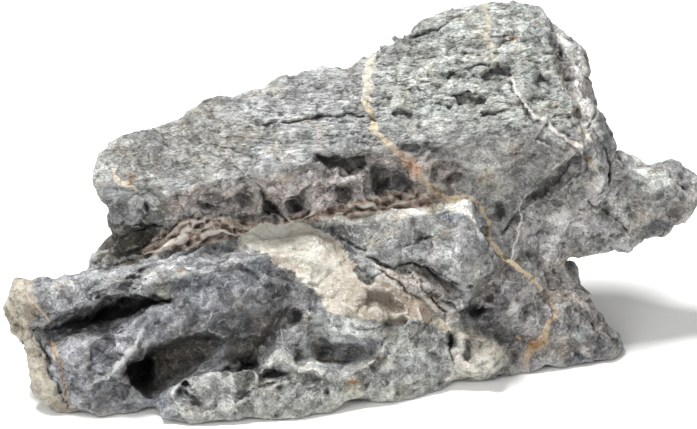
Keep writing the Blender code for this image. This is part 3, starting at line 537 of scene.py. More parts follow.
# name: (half width mm, height mm, path); a height below nothing is a valley where two facets meet
RIDGES = {
    "cheek_valley": (5.0, -4.0, [(277, 200), (280, 190), (284, 178), (289, 166), (291.5, 157)]),
    "arm_valley": (4.5, -3.4, [(304, 144), (304, 134), (302, 122), (303, 108)]),
    "pit_left_ridge": (3.0, 3.2, [(71.5, 50), (67.5, 41), (59, 30), (47.5, 22.5)]),
    "vein_two": (1.2, 0.5, [
        (250, 183.5), (254, 178.5), (257.5, 170.5), (261.5, 164.5), (265, 158.5), (272.5, 152),
        (280, 147), (291, 140.5)]),
    "face_margin": (3.0, 2.6, [
        (272.5, 202), (274.5, 190), (278, 180), (285, 166), (289.5, 150), (291, 141)]),
    "main_vein_top": (2.8, 0.8, [(186, 183.5), (184, 172), (183, 164.5), (186, 157)]),
    "main_vein_low": (2.2, 1.0, [(200, 137), (207.5, 130), (212.5, 123.5), (220, 117), (235, 115.5)]),
    "fold_a": (2.2, 3.6, [(92, 103.5), (98, 105.5), (105, 106), (112, 104.5), (118, 101.5)]),
    "fold_b": (2.2, 3.6, [(93, 99), (101, 103), (108, 101.5), (115, 98)]),
    "fold_c": (2.2, 3.6, [(83, 91.5), (93, 96), (104, 99), (118, 96.5)]),
    "fold_d": (2.2, 3.6, [(67, 86.5), (78, 90), (93, 94.5)]),
    "fold_e": (1.8, 2.6, [(84, 97), (92, 101), (101, 103.5), (112, 102)]),
    "top_fold_a": (1.9, 3.0, [
        (46, 66), (52, 70), (57, 74), (62, 75.5), (66, 77.5), (71, 80), (76, 83), (80, 85)]),
    "top_fold_b": (1.7, 2.4, [(58, 66), (66, 69), (71, 72.5), (76, 75.5)]),
    "top_fold_c": (2.0, 2.8, [(49, 79), (58, 82), (66, 85.5), (75, 87.5), (85, 90), (93, 92)]),
    "fan_rib": (1.6, 1.8, [(205, 79), (212, 73), (220, 65.5), (227, 58)]),
    "calcite_crest": (2.2, 1.8, [(136, 87.5), (147, 87), (156, 84), (165, 80), (175, 76)]),
    "calcite_rim": (2.4, 2.4, [(190, 74.5), (197, 73), (201, 69), (206, 66), (212, 62), (217, 58.5)]),
    "undercut_rim": (1.4, 1.4, [(292, 141), (284, 133.5), (276, 125.5), (268, 117.5), (260, 112)]),
    "dimple_rim": (1.3, 1.6, [(153, 60), (153.5, 56), (156, 51), (158, 49)]),
    "nodule_rim": (2.0, 2.4, [
        (228, 44), (231, 49), (238, 48.5), (244, 43), (245, 36), (240, 30.5), (232, 30)]),
    "nodule_brow": (1.8, 1.8, [(238, 51), (244, 47), (250, 41), (253, 36)]),
    "ledge_crest_left": (2.6, 3.6, [
        (86, 17), (87, 22), (92, 26.5), (99, 28.5), (106, 29), (111, 31.5), (114, 32.5), (117, 30),
        (118, 25), (117.5, 19.5)]),
    "ledge_crest": (2.8, 4.0, [
        (129.5, 26), (130, 31), (134.5, 35), (139.5, 38), (143, 36.5), (147, 32), (152, 31), (158, 31),
        (161.5, 28), (166, 27.5), (172.5, 28), (177, 31.5), (182, 34), (187, 36), (190, 41), (191, 46)]),
    "ledge_rim_low": (1.8, 2.0, [(90, 11), (94, 13.5), (100, 11.8), (105, 13.5), (108, 17)]),
    "ledge_rim_end": (1.6, 1.8, [(120, 14), (126, 17), (131, 20.5), (137, 21.2), (144, 22.5), (149, 26)]),
    "ledge_left_edge": (1.4, 1.6, [(87.5, 15.5), (90, 11), (95, 3)]),
    "slab_edge": (3.2, 2.6, [
        (56, 62), (66, 68), (77, 73), (89, 76.5), (100, 79), (112, 82), (124, 85.5), (136, 88)]),
    "lip_left": (3.0, 2.0, [
        (84, 117), (92, 121), (104, 123), (122, 125), (140, 130), (160, 136), (180, 138)]),
    "block_edge": (2.8, 2.4, [
        (148, 102.5), (158, 104.5), (170, 105), (184, 102.5), (197, 103), (207, 106), (220, 110),
        (232, 112.5), (238, 104), (243, 94), (248, 83)]),
    "band_rib_left": (2.2, 2.2, [(112, 120), (118, 114), (124, 108), (130, 104)]),
    "band_rib_middle": (2.0, 2.4, [(137, 121), (139.5, 115), (144, 110), (150, 104.5)]),
    "band_rib_right": (2.4, 2.6, [(158, 128), (163, 123), (168, 118), (175, 112)]),
    "band_rib_far": (2.2, 2.4, [(182, 136), (184, 127), (181, 118), (184, 111)]),
    "band_rib_long": (1.8, 2.8, [(155, 113.5), (163, 117.5), (172, 122), (180, 127), (187, 131)]),
    "valley_rib": (2.0, 2.4, [(142, 61), (139, 54), (136, 47), (131, 40)]),
    "dimple_rib": (1.8, 2.0, [(156, 60), (155, 52), (152, 44), (146, 38)]),
}


# A hollow's depth is measured from the plane of the ground around it, which is read this far outside it, in
# mm. Points that lie deeper or higher than the spread belong to other ground.
RIM_FROM, RIM_TO = 0.4, 3.0
RIM_SPREAD = 12.0
HOLLOW_LEAST = 0.6  # the least share of its depth by which a hollow sinks below the ground that was there
CRACK_TAPER = 5.0  # mm over which a crack closes at its ends


def rim_plane(faced, away, seen):
    """The depth of the plane that best fits the ground just outside a hollow's rim, for every point."""
    rim = (away < -RIM_FROM) & (away > -RIM_TO) & (seen > 0.7)
    table = np.column_stack([faced[:, :2], np.ones(len(faced))])
    middle = np.median(faced[rim, 2])
    rim &= np.abs(faced[:, 2] - middle) < RIM_SPREAD
    fit, _, _, _ = np.linalg.lstsq(table[rim], faced[rim, 2], rcond=None)
    return table @ fit


def carve(obj):
    """Cuts the hollows and raises the ridges, on what is seen from the front."""
    faced = to_face(coordinates(obj))
    spots = drawn_spots(faced)
    seen = spread(obj, seen_from_front(obj), 2)
    moved = faced.copy()
    for depth, wall, outline in HOLLOWS.values():
        away = inside_distance(spots, outline)
        inward = np.clip(away / wall, 0.0, 1.0)
        sunk = depth * inward * (2.0 - inward)
        floor = np.maximum(moved[:, 2] + HOLLOW_LEAST * sunk, rim_plane(faced, away, seen) + sunk)
        moved[:, 2] += seen * (away > 0.0) * (floor - moved[:, 2])
    for half_width, height, path in RIDGES.values():
        away, _, _ = path_distance(spots, path)
        moved[:, 2] -= seen * height * np.clip(1.0 - away / half_width, 0.0, 1.0)
    move_to(obj, from_face(moved))
    print("carved", len(HOLLOWS), "hollows and", len(RIDGES), "ridges")


def crack(obj):
    """Opens the grooves, and keeps on every point how near the middle of one it is."""
    faced = to_face(coordinates(obj))
    spots = drawn_spots(faced)
    seen = spread(obj, seen_from_front(obj), 1)
    opening = 0.75 + 0.6 * noise_over(faced, 6.0, 71.3)
    moved = faced.copy()
    nearest = np.zeros(len(faced))
    for half_width, depth, path in GROOVES.values():
        away, reached, _ = path_distance(spots, path)
        ends = np.clip(np.minimum(reached, reached.max() - reached) / CRACK_TAPER, 0.25, 1.0)
        width = half_width * opening * ends
        share = seen * np.clip(1.0 - away / np.maximum(width, 0.3), 0.0, 1.0)
        moved[:, 2] += depth * opening * ends * share
        nearest = np.maximum(nearest, share)
    move_to(obj, from_face(moved))
    set_attribute(obj, "cracked", nearest)
    print("opened", len(GROOVES), "grooves")


remesh(stone, SKIN_VOXEL)
carve(stone)
remesh(stone, SKIN_VOXEL)
print("fine skin:", len(stone.data.vertices), "points")

# %% [markdown]
# ## Where each kind of weathering shows
#
# The same limestone weathers in two ways. Broken across its beds it shows thin steps, as on the sloping face
# of the upper slab; where water stood or ran over it, it is dissolved into scallops with sharp rims between
# them, as below the lip and on the lower slab. A few places are smooth. Each kind gets a weight on every
# point, from soft-edged outlines, and the next step reads the weights.

# %% Weights for beds, scallops and smooth ground
STRATA_FACE = [
    (44, 118), (60, 120), (72, 117), (80, 122), (100, 124), (125, 126), (145, 130.5), (165, 135.5),
    (185, 137), (205, 139.5), (225, 143), (245, 145.5), (260, 148), (275, 151.5), (291, 140.5), (284, 185),
    (275, 204), (262, 220), (220, 216), (195, 200), (180, 190), (140, 182), (110, 172), (70, 158),
    (40, 140)]
SMOOTH_FACE = [
    (211, 143), (230, 144), (250, 148.5), (265, 151), (275, 149), (291, 140.5), (280, 128), (272, 119),
    (260, 109), (250, 97), (242, 107), (235, 116), (222, 120), (233, 130), (228, 137)]
LEDGE = [
    (78, 0), (84, 24), (104, 30), (120, 30), (142, 41), (150, 33), (182, 34), (192, 44), (224, 45),
    (224, 24), (190, 8), (120, 0)]
NODULE = [
    (224, 24), (225.5, 40), (228.5, 52), (236, 53), (246, 46), (255, 40), (254, 32), (243, 24), (230, 20)]
RECESS = [
    (78, 97), (84, 101), (91, 105), (98, 107), (105, 107.2), (113, 106.4), (122, 104), (134, 103.6),
    (150, 107), (165, 112), (182, 116), (198, 119), (212, 118), (222, 115), (206, 110), (186, 108),
    (170, 106), (158, 104), (146, 102), (132, 100.5), (122, 96), (106, 93), (92, 90), (76, 86), (70, 88)]
CALCITE = [
    (118, 96), (131, 102), (147, 103.5), (160, 100.5), (169.5, 94.5), (172, 86), (181, 79.5), (189, 76),
    (204, 67.5), (214, 59.5), (216.5, 53.5), (207.5, 56), (197.5, 53.5), (178, 57.5), (163, 59.5),
    (158, 69), (148, 77.5), (138, 82.5), (135, 88), (125, 90)]
TOP_FOLDS = [
    (30, 66), (45, 77), (75, 87), (100, 91), (131, 95), (131, 90), (100, 84.5), (80, 78), (65, 72),
    (47, 66)]
SHELF = [
    (22, 47), (36.5, 50.5), (48, 54), (58, 55), (66, 58), (76, 61.5), (70, 56), (62, 51), (52, 47),
    (29, 41.5), (21, 43)]
BLOCK = [(160, 106), (218, 114), (234, 114), (248, 82), (238, 71), (212, 80), (184, 85), (160, 100)]
BAND = [
    (84, 117), (100, 122), (125, 125), (145, 130), (165, 135.5), (185, 137), (205, 139), (233, 132),
    (228, 118), (200, 113), (175, 109), (150, 104), (130, 102), (118, 106), (104, 110), (92, 106),
    (84, 104)]
NECK = [(216, 70), (240, 68), (252, 86), (280, 84), (276, 30), (246, 30), (226, 54)]
LOWER_FRONT = [
    (8, 76), (50, 74), (80, 78), (136, 88), (150, 78), (144, 60), (132, 34), (112, 30), (84, 25), (78, 0),
    (30, 0), (0, 60)]


def soft_region(spots, outline, softness):
    return smooth_step(-softness, softness, inside_distance(spots, outline))


def set_attribute(obj, name, values, kind="FLOAT", field="value"):
    old = obj.data.attributes.get(name)
    if old:
        obj.data.attributes.remove(old)
    layer = obj.data.attributes.new(name, kind, "POINT")
    layer.data.foreach_set(field, np.ascontiguousarray(values, dtype=np.float32).ravel())


def hollow_share(spots, hollow_shade=None):
    """How far inside a drawn hollow each point is, from 0 to 1, times the painted shade given for it."""
    share = np.zeros(len(spots))
    for name, (_, wall, outline) in HOLLOWS.items():
        amount = 1.0 if hollow_shade is None else hollow_shade.get(name, 0.0)
        if amount:
            share = np.maximum(share, amount * smooth_step(-0.9, 0.5 * wall, inside_distance(spots, outline)))
    return share


def near_region(spots, faced, outline, softness, depth):
    """The share of an outline, only on points less than a depth (mm) behind the face."""
    return soft_region(spots, outline, softness) * (faced[:, 2] < depth)


def nodule_share(spots, faced):
    return near_region(spots, faced, NODULE, softness=1.5, depth=62)


faced = to_face(coordinates(stone))
spots = drawn_spots(faced)
bedded = soft_region(spots, STRATA_FACE, 3.0)
ledge = near_region(spots, faced, LEDGE, softness=2.5, depth=40) * smooth_step(5.0, 14.0, faced[:, 1])
nodule = nodule_share(spots, faced)
calcite = near_region(spots, faced, CALCITE, softness=3.0, depth=64)
smooth_ground = np.clip(soft_region(spots, SMOOTH_FACE, 3.0) + 0.6 * calcite, 0.0, 1.0)
band = near_region(spots, faced, BAND, softness=3.0, depth=70)
lower_front = near_region(spots, faced, LOWER_FRONT, softness=4.0, depth=50)
neck = near_region(spots, faced, NECK, softness=4.0, depth=80)
pleated = soft_region(spots, RECESS, 2.5) + 0.9 * soft_region(spots, TOP_FOLDS, 3.0)
pleated = np.clip(pleated + 0.5 * soft_region(spots, SHELF, 2.0), 0.0, 1.0) * (faced[:, 2] < 80)
hollow = hollow_share(spots)
block = near_region(spots, faced, BLOCK, softness=3.0, depth=60)
thin_calcite = calcite * smooth_step(150.0, 168.0, faced[:, 0])
scalloped = np.clip(0.26 - 0.2 * block - 0.28 * bedded + 1.1 * band + 0.5 * neck - 0.22 * lower_front
                    - 0.2 * smooth_ground + 0.6 * thin_calcite - 0.2 * hollow - 0.6 * pleated, 0.04, 1.5)
off_floor = smooth_step(3.0, 16.0, coordinates(stone)[:, 2] / MM)
scalloped *= 0.3 + 0.7 * off_floor
set_attribute(stone, "face_mm", faced, "FLOAT_VECTOR", "vector")
set_attribute(stone, "bedded", 0.25 + 0.75 * bedded)
set_attribute(stone, "scalloped", scalloped)
set_attribute(stone, "knobbly", np.clip(0.8 * ledge * off_floor * (1.0 - hollow) + 0.4 * nodule, 0.0, 1.0))
set_attribute(stone, "flaky", bedded * smooth_step(90.0, 200.0, faced[:, 0]) + 0.3 * bedded)
set_attribute(stone, "pleated", pleated)
far_front = smooth_step(58.0, 78.0, faced[:, 0])
chipped = np.clip(1.0 + lower_front * (0.35 - 0.6 * far_front) - 0.4 * bedded - 0.4 * smooth_ground
                  - 0.5 * ledge - 0.3 * block - 0.4 * hollow - 0.6 * pleated, 0.0, 1.5)
set_attribute(stone, "chipped", chipped * (0.5 + 0.5 * off_floor))
set_attribute(stone, "rough", np.clip(1.0 - 0.55 * smooth_ground - 0.3 * lower_front - 0.3 * block, 0.0, 1.0))
print("bedded share:", round(float(bedded.mean()), 2), "scalloped share:", round(float(scalloped.mean()), 2))

# %% [markdown]
# ## Weathering with geometry nodes
#
# Beds and scallops follow rules, so a node tree makes them. A bed is a step: it stands proud at its lower
# edge and falls back to the foot of the next, along planes that a slow noise bends. Scallops are the cells of
# a Voronoi pattern: each is deepest at its middle and meets its neighbours in a sharp rim. Where the stone
# broke, flakes and plates are cells too, each one a tilted plane, and fracture facets are planes that meet in
# creases. Pleats are the rounded folds in the gap between the slabs. The sizes are inputs in real
# millimetres, and the pattern reads the face frame from an attribute.

# %% Build the weathering tree
weathering = bpy.data.node_groups.new("limestone_weathering", "GeometryNodeTree")
weathering.interface.new_socket("Geometry", in_out="OUTPUT", socket_type="NodeSocketGeometry")
weathering.interface.new_socket("Geometry", in_out="INPUT", socket_type="NodeSocketGeometry")
WEATHERING_SIZES = {
    "Bed thickness": 4.6, "Bed depth": 1.35, "Bed rise": 0.13, "Bed wander": 9.0, "Flake size": 6.5,
    "Flake tilt": 0.55, "Plate size": 26.0, "Plate tilt": 0.12, "Facet size": 21.0, "Facet slope": 0.36,
    "Scallop size": 13.0, "Scallop depth": 2.6, "Knob size": 10.0, "Knob depth": 1.5, "Pleat size": 6.4,
    "Pleat depth": 1.15, "Pit size": 5.0, "Pit depth": 1.4, "Grain depth": 1.6, "Seed": 3.0,
}
for size_name in WEATHERING_SIZES:
    weathering.interface.new_socket(size_name, in_out="INPUT", socket_type="NodeSocketFloat")
weathering.interface.new_socket("Material", in_out="INPUT", socket_type="NodeSocketMaterial")
grow = functools.partial(add_node, weathering)  # adds a node to this tree
given = grow("NodeGroupInput").node.outputs


def noise_of(size, detail, roughness=0.5, at=None):
    """Noise whose lumps have a real size in millimetres, from the tree's own seed."""
    return grow("noise", at or place, given["Seed"], grow("divide", 1.0, size), detail, roughness,
                noise_dimensions="4D")


place = grow("stored_value", "face_mm", data_type="FLOAT_VECTOR")
axes = grow("to_xyz", place).node.outputs

# The level of a point among the beds, in mm: its height, corrected for the beds' rise, lean and wander.
level = grow("multiply_add", axes["X"], grow("multiply", given["Bed rise"], -1.0), axes["Y"])
level = grow("multiply_add", axes["Z"], -0.35, level)
level = grow("multiply_add", noise_of(48.0, 2.0), grow("multiply", given["Bed wander"], 2.0), level)
along_beds = grow("vector_multiply", place, (0.45, 1.0, 1.0))
level = grow("multiply_add", noise_of(9.0, 3.0, 0.55, along_beds), 6.5, level)


def bed_steps(height, thickness, lip_share):
    """One family of beds: a shingle profile, with each bed standing out by its own amount."""
    count = grow("divide", height, thickness)
    inside = grow("fract", count)
    profile = grow("subtract", grow("smooth_step", inside, 0.0, lip_share), inside)
    own = grow("ShaderNodeTexWhiteNoise", grow("floor", count), noise_dimensions="1D")
    return grow("multiply", profile, grow("multiply_add", own, 0.8, 0.3))


stretched = grow("vector_multiply", place, (0.4, 1.3, 1.0))
broken = grow("smooth_step", noise_of(12.0, 3.0, 0.6, stretched), 0.4, 0.58)
crumbled = grow("smooth_step", noise_of(6.0, 3.0, 0.6, stretched), 0.42, 0.6)
broad_beds = bed_steps(level, grow("multiply", given["Bed thickness"], 2.6), 0.14)
middle_beds = grow("multiply", bed_steps(level, given["Bed thickness"], 0.2), broken)
thin_beds = grow("multiply", bed_steps(level, grow("multiply", given["Bed thickness"], 0.48), 0.3),
                 crumbled)
beds = grow("add", broad_beds, grow("multiply_add", thin_beds, 0.5, middle_beds))
beds = grow("multiply", grow("multiply", beds, given["Bed depth"]), grow("stored_value", "bedded"))


def tilted_cells(size, tilt_share, stretch):
    """Flakes or plates: each cell is one plane, tilted its own way, with a step at its edge."""
    at = grow("vector_multiply", place, stretch)
    cells = grow("cells", at, grow("divide", 1.0, size))
    outputs = cells.node.outputs
    tilt = grow("vector_subtract", outputs["Color"], (0.5, 0.5, 0.5))
    reach = grow("vector_subtract", at, outputs["Position"])
    slope = grow("vector_dot_product", tilt, reach).node.outputs["Value"]
    return grow("multiply", slope, tilt_share)


flaked = grow("add", tilted_cells(given["Flake size"], given["Flake tilt"], (0.5, 1.3, 1.0)),
              tilted_cells(grow("multiply", given["Flake size"], 0.5), given["Flake tilt"],
                           (0.5, 1.2, 1.0)))
flaked = grow("multiply", flaked, grow("smooth_step", noise_of(20.0, 2.0), 0.36, 0.6, 0.3, 1.0))
flaked = grow("multiply", flaked, grow("stored_value", "flaky"))


def fold(direction, size):
    """A flat rise and a flat fall along one direction, over and over, bent a little by noise."""
    run = grow("vector_dot_product", place, direction).node.outputs["Value"]
    bend = grow("multiply", noise_of(30.0, 1.0), grow("multiply", given["Facet size"], 0.9))
    return grow("pingpong", grow("add", run, bend), size)


def facets_of(size):
    """Fracture facets: flat planes that meet in creases, with no step between them."""
    one = grow("minimum", fold((0.80, 0.52, 0.30), size), fold((-0.45, 0.86, 0.24), size))
    two = grow("minimum", fold((0.34, -0.42, 0.84), size), fold((0.92, -0.30, -0.25), size))
    return grow("multiply_add", size, -0.5, grow("maximum", one, two))


facets = grow("multiply_add", facets_of(grow("multiply", given["Facet size"], 0.4)), 0.7,
              facets_of(given["Facet size"]))
plates = grow("add", tilted_cells(given["Plate size"], given["Plate tilt"], (0.8, 1.2, 1.0)),
              tilted_cells(grow("multiply", given["Plate size"], 0.36),
                           grow("multiply", given["Plate tilt"], 2.2), (0.8, 1.2, 1.0)))
facets = grow("multiply_add", facets, given["Facet slope"], plates)
facets = grow("multiply", facets, grow("stored_value", "chipped"))

# Pleats: rounded folds that flow side by side along the gap between the slabs, and fork where noise bends
# them.
pleat_run = grow("vector_dot_product", place, (-0.33, 0.94, 0.4)).node.outputs["Value"]
pleat_run = grow("multiply_add", noise_of(17.0, 2.0, 0.5), 26.0, pleat_run)
pleat_turn = grow("multiply", grow("divide", pleat_run, given["Pleat size"]), 2.0 * math.pi)
pleats = grow("multiply", grow("cosine", pleat_turn), given["Pleat depth"])
pleats = grow("multiply", pleats, grow("smooth_step", noise_of(11.0, 2.0), 0.3, 0.6, 0.3, 1.0))
pleats = grow("multiply", pleats, grow("stored_value", "pleated"))


def cup_cells(size, share, bend):
    """Dissolved cups of one size: lowest at the middle of a cup and rising to a sharp rim."""
    wander = grow("noise", place, 0.09, 2.0)
    shifted = grow("vector_scale", wander.node.outputs["Color"], bend)
    cells = grow("cells", grow("vector_add", place, shifted), grow("divide", 1.0, size))
    return grow("multiply", grow("multiply_add", grow("power", cells, 2.0), 1.7, -0.45), share)


patchy = grow("smooth_step", noise_of(28.0, 1.0), 0.36, 0.58, 0.35, 1.0)
cups = grow("add", cup_cells(given["Scallop size"], 1.0, 9.0),
            cup_cells(grow("multiply", given["Scallop size"], 0.45), 0.45, 5.0))
scallops = grow("multiply", grow("multiply", cups, given["Scallop depth"]), patchy)
scallops = grow("multiply", scallops, grow("stored_value", "scalloped"))

knobs = grow("add", cup_cells(given["Knob size"], 1.0, 6.0),
             cup_cells(grow("multiply", given["Knob size"], 0.5), 0.4, 4.0))
knobs = grow("multiply", grow("multiply", knobs, given["Knob depth"]), grow("stored_value", "knobbly"))

pit_cells = grow("cells", place, grow("divide", 1.0, given["Pit size"]))
chosen = grow("FunctionNodeSeparateColor", pit_cells.node.outputs["Color"])
hole = grow("multiply", grow("smooth_step", pit_cells, 0.42, 0.12), grow("smooth_step", chosen, 0.72, 0.8))
pits = grow("multiply", grow("multiply", hole, given["Pit depth"]), -1.0)

grain = grow("multiply", grow("subtract", noise_of(5.0, 4.0, 0.62), 0.5), given["Grain depth"])
grain = grow("multiply", grow("add", grain, pits), grow("stored_value", "rough"))

lift = grow("add", grow("add", beds, flaked), grow("add", grow("add", scallops, knobs), pleats))
lift = grow("add", lift, grow("add", grain, facets))
outward = grow("GeometryNodeInputNormal")
shift = grow("vector_scale", outward, grow("multiply", lift, MM))
weathered = grow("GeometryNodeSetPosition", given["Geometry"], Offset=shift)
real = grow("GeometryNodeRealizeInstances", weathered)
dressed = grow("GeometryNodeSetMaterial", real, Material=given["Material"])
grow("NodeGroupOutput", dressed)
print("weathering tree:", len(weathering.nodes), "nodes")

# %% Weather the skin
limestone = bpy.data.materials.new("seiryu_limestone")
limestone.use_nodes = True


def weather(obj):
    modifier = obj.modifiers.new("weathering", "NODES")
    modifier.node_group = weathering
    for item in weathering.interface.items_tree:
        if item.in_out == "INPUT" and item.name in WEATHERING_SIZES:
            modifier[item.identifier] = WEATHERING_SIZES[item.name]
        if item.in_out == "INPUT" and item.name == "Material":
            modifier[item.identifier] = limestone
    bake_modifiers(obj)


weather(stone)
crack(stone)

# %% Thin the skin, more at the back than at the front
SKIN_TRIANGLES = 196000
FRONT_SHARE = 0.8
triangles = sum(len(face.vertices) - 2 for face in stone.data.polygons)
keep = stone.vertex_groups.new(name="keep")
facing = normals(stone) @ np.array(towards_camera)
for i, share in enumerate(FRONT_SHARE * smooth_step(-0.25, 0.15, facing)):
    keep.add([i], float(share), "REPLACE")
thin = stone.modifiers.new("thin", "DECIMATE")
thin.ratio = SKIN_TRIANGLES / triangles
thin.vertex_group = "keep"
thin.invert_vertex_group = True
thin.use_collapse_triangulate = True
bake_modifiers(stone)
stone.data.shade_smooth()
print("weathered skin:", triangles, "triangles, thinned to", len(stone.data.polygons))

# %% [markdown]
# ## Fitting the skin to the floor and the box
#
# The stone stands on flat pads, so no point of the skin goes below the floor, and along and across none
# leaves the solid's box by more than half a millimetre.

# %% Keep the skin above the floor
BOX_PLAY = 0.5
points = coordinates(stone)
points[:, 2] = np.maximum(points[:, 2], 0.0)
low = np.array(cad_box[0]) - BOX_PLAY * MM
high = np.array(cad_box[1]) + BOX_PLAY * MM
points[:, :2] = np.clip(points[:, :2], low[:2], high[:2])
move_to(stone, points)
print("skin box, m:", points.min(axis=0).round(4), points.max(axis=0).round(4))

# %% [markdown]
# ## What the surface tells the material
#
# Limestone's greys are made to follow its shape. Crests are bruised and bleached pale and also get a painted
# highlight, and hollows and sheltered places get painted shade. So three measures are taken on every point:
# how much it stands out at a fine and at a broad scale, and how sheltered it is, counted with rays over the
# open sky above it. Where the skin is thinned the neighbours are farther away, so the first two are scaled
# down there.

# %% Relief and shelter
SKY_RAYS = 16
SKY_REACH = 24.0
SKY_START = 0.4
FINE_ROUNDS = 3
BROAD_ROUNDS = 36


def edge_lengths(obj):
    """The mean length of the edges at every point, which grows where the skin was thinned."""
    ends = edge_ends(obj)
    points = coordinates(obj)
    length = np.linalg.norm(points[ends[:, 0]] - points[ends[:, 1]], axis=1)
    total = np.bincount(ends.ravel(), np.repeat(length, 2), len(points))
    return total / np.maximum(np.bincount(ends.ravel(), minlength=len(points)), 1)


def shelter_of(obj, reach):
    """0 in the open and 1 deep in a hollow: how near the stone's own walls are, over the point's sky."""
    tree = BVHTree.FromObject(obj, bpy.context.evaluated_depsgraph_get())
    golden = math.pi * (3.0 - math.sqrt(5.0))
    sky = []
    for i in range(SKY_RAYS):
        height = math.sqrt((i + 0.5) / SKY_RAYS)
        flat = math.sqrt(1.0 - height * height)
        sky.append(Vector((flat * math.cos(golden * i), flat * math.sin(golden * i), height)))
    sheltered = np.zeros(len(obj.data.vertices))
    for i, (vert, normal) in enumerate(zip(obj.data.vertices, obj.data.vertex_normals)):
        turn = normal.vector.to_track_quat("Z", "X")
        start = vert.co + normal.vector * (SKY_START * MM)
        for ray in sky:
            hit = tree.ray_cast(start, turn @ ray, reach)
            if hit[0] is not None:
                sheltered[i] += 1.0 - hit[3] / reach
    return sheltered / SKY_RAYS


points = coordinates(stone)
outward_way = normals(stone)
faced = to_face(points)
spots = drawn_spots(faced)
fine_relief = ((points - spread(stone, points, FINE_ROUNDS)) * outward_way).sum(axis=1) / MM
broad_relief = ((points - spread(stone, points, BROAD_ROUNDS)) * outward_way).sum(axis=1) / MM
shelter = spread(stone, shelter_of(stone, SKY_REACH * MM), 1)
lengths = edge_lengths(stone)
coarseness = np.maximum(lengths / np.median(lengths), 1.0) ** 2
fine_relief /= coarseness
broad_relief /= coarseness
set_attribute(stone, "face_mm", faced, "FLOAT_VECTOR", "vector")
set_attribute(stone, "relief", np.stack([fine_relief, broad_relief, shelter], axis=1), "FLOAT_VECTOR",
              "vector")
print("fine relief, mm:", np.percentile(fine_relief, [5, 50, 95]).round(2),
      "broad:", np.percentile(broad_relief, [5, 50, 95]).round(2),
      "shelter:", np.percentile(shelter, [5, 50, 95]).round(2))

# %% [markdown]
# ## Colour grounds
#
# The stone is one rock, yet its faces differ. The upper slab is pale and a little green, the lower slab's
# broken front is dark and bluish, the gap between them is stained pink-brown by iron, and a beige crust coats
# the left end. Each ground is an outline, a colour and a softness, laid one over the other. Many grounds are
# painted light and shade: lit and shaded facets, painted highlights on crests and tops, and painted shade in
# cups, pits, niches and under overhangs.

# %% Lay the grounds
LIMESTONE_GREY = "8e8f8f"
GROUND_FADE = 15  # mm over which a ground fades out at its greatest depth
INCLUSION = [
    (177.5, 79), (180, 80.3), (184, 79.5), (187.5, 76), (186.5, 73.3), (183, 72.5), (179, 73.5),
    (178, 76.5)]
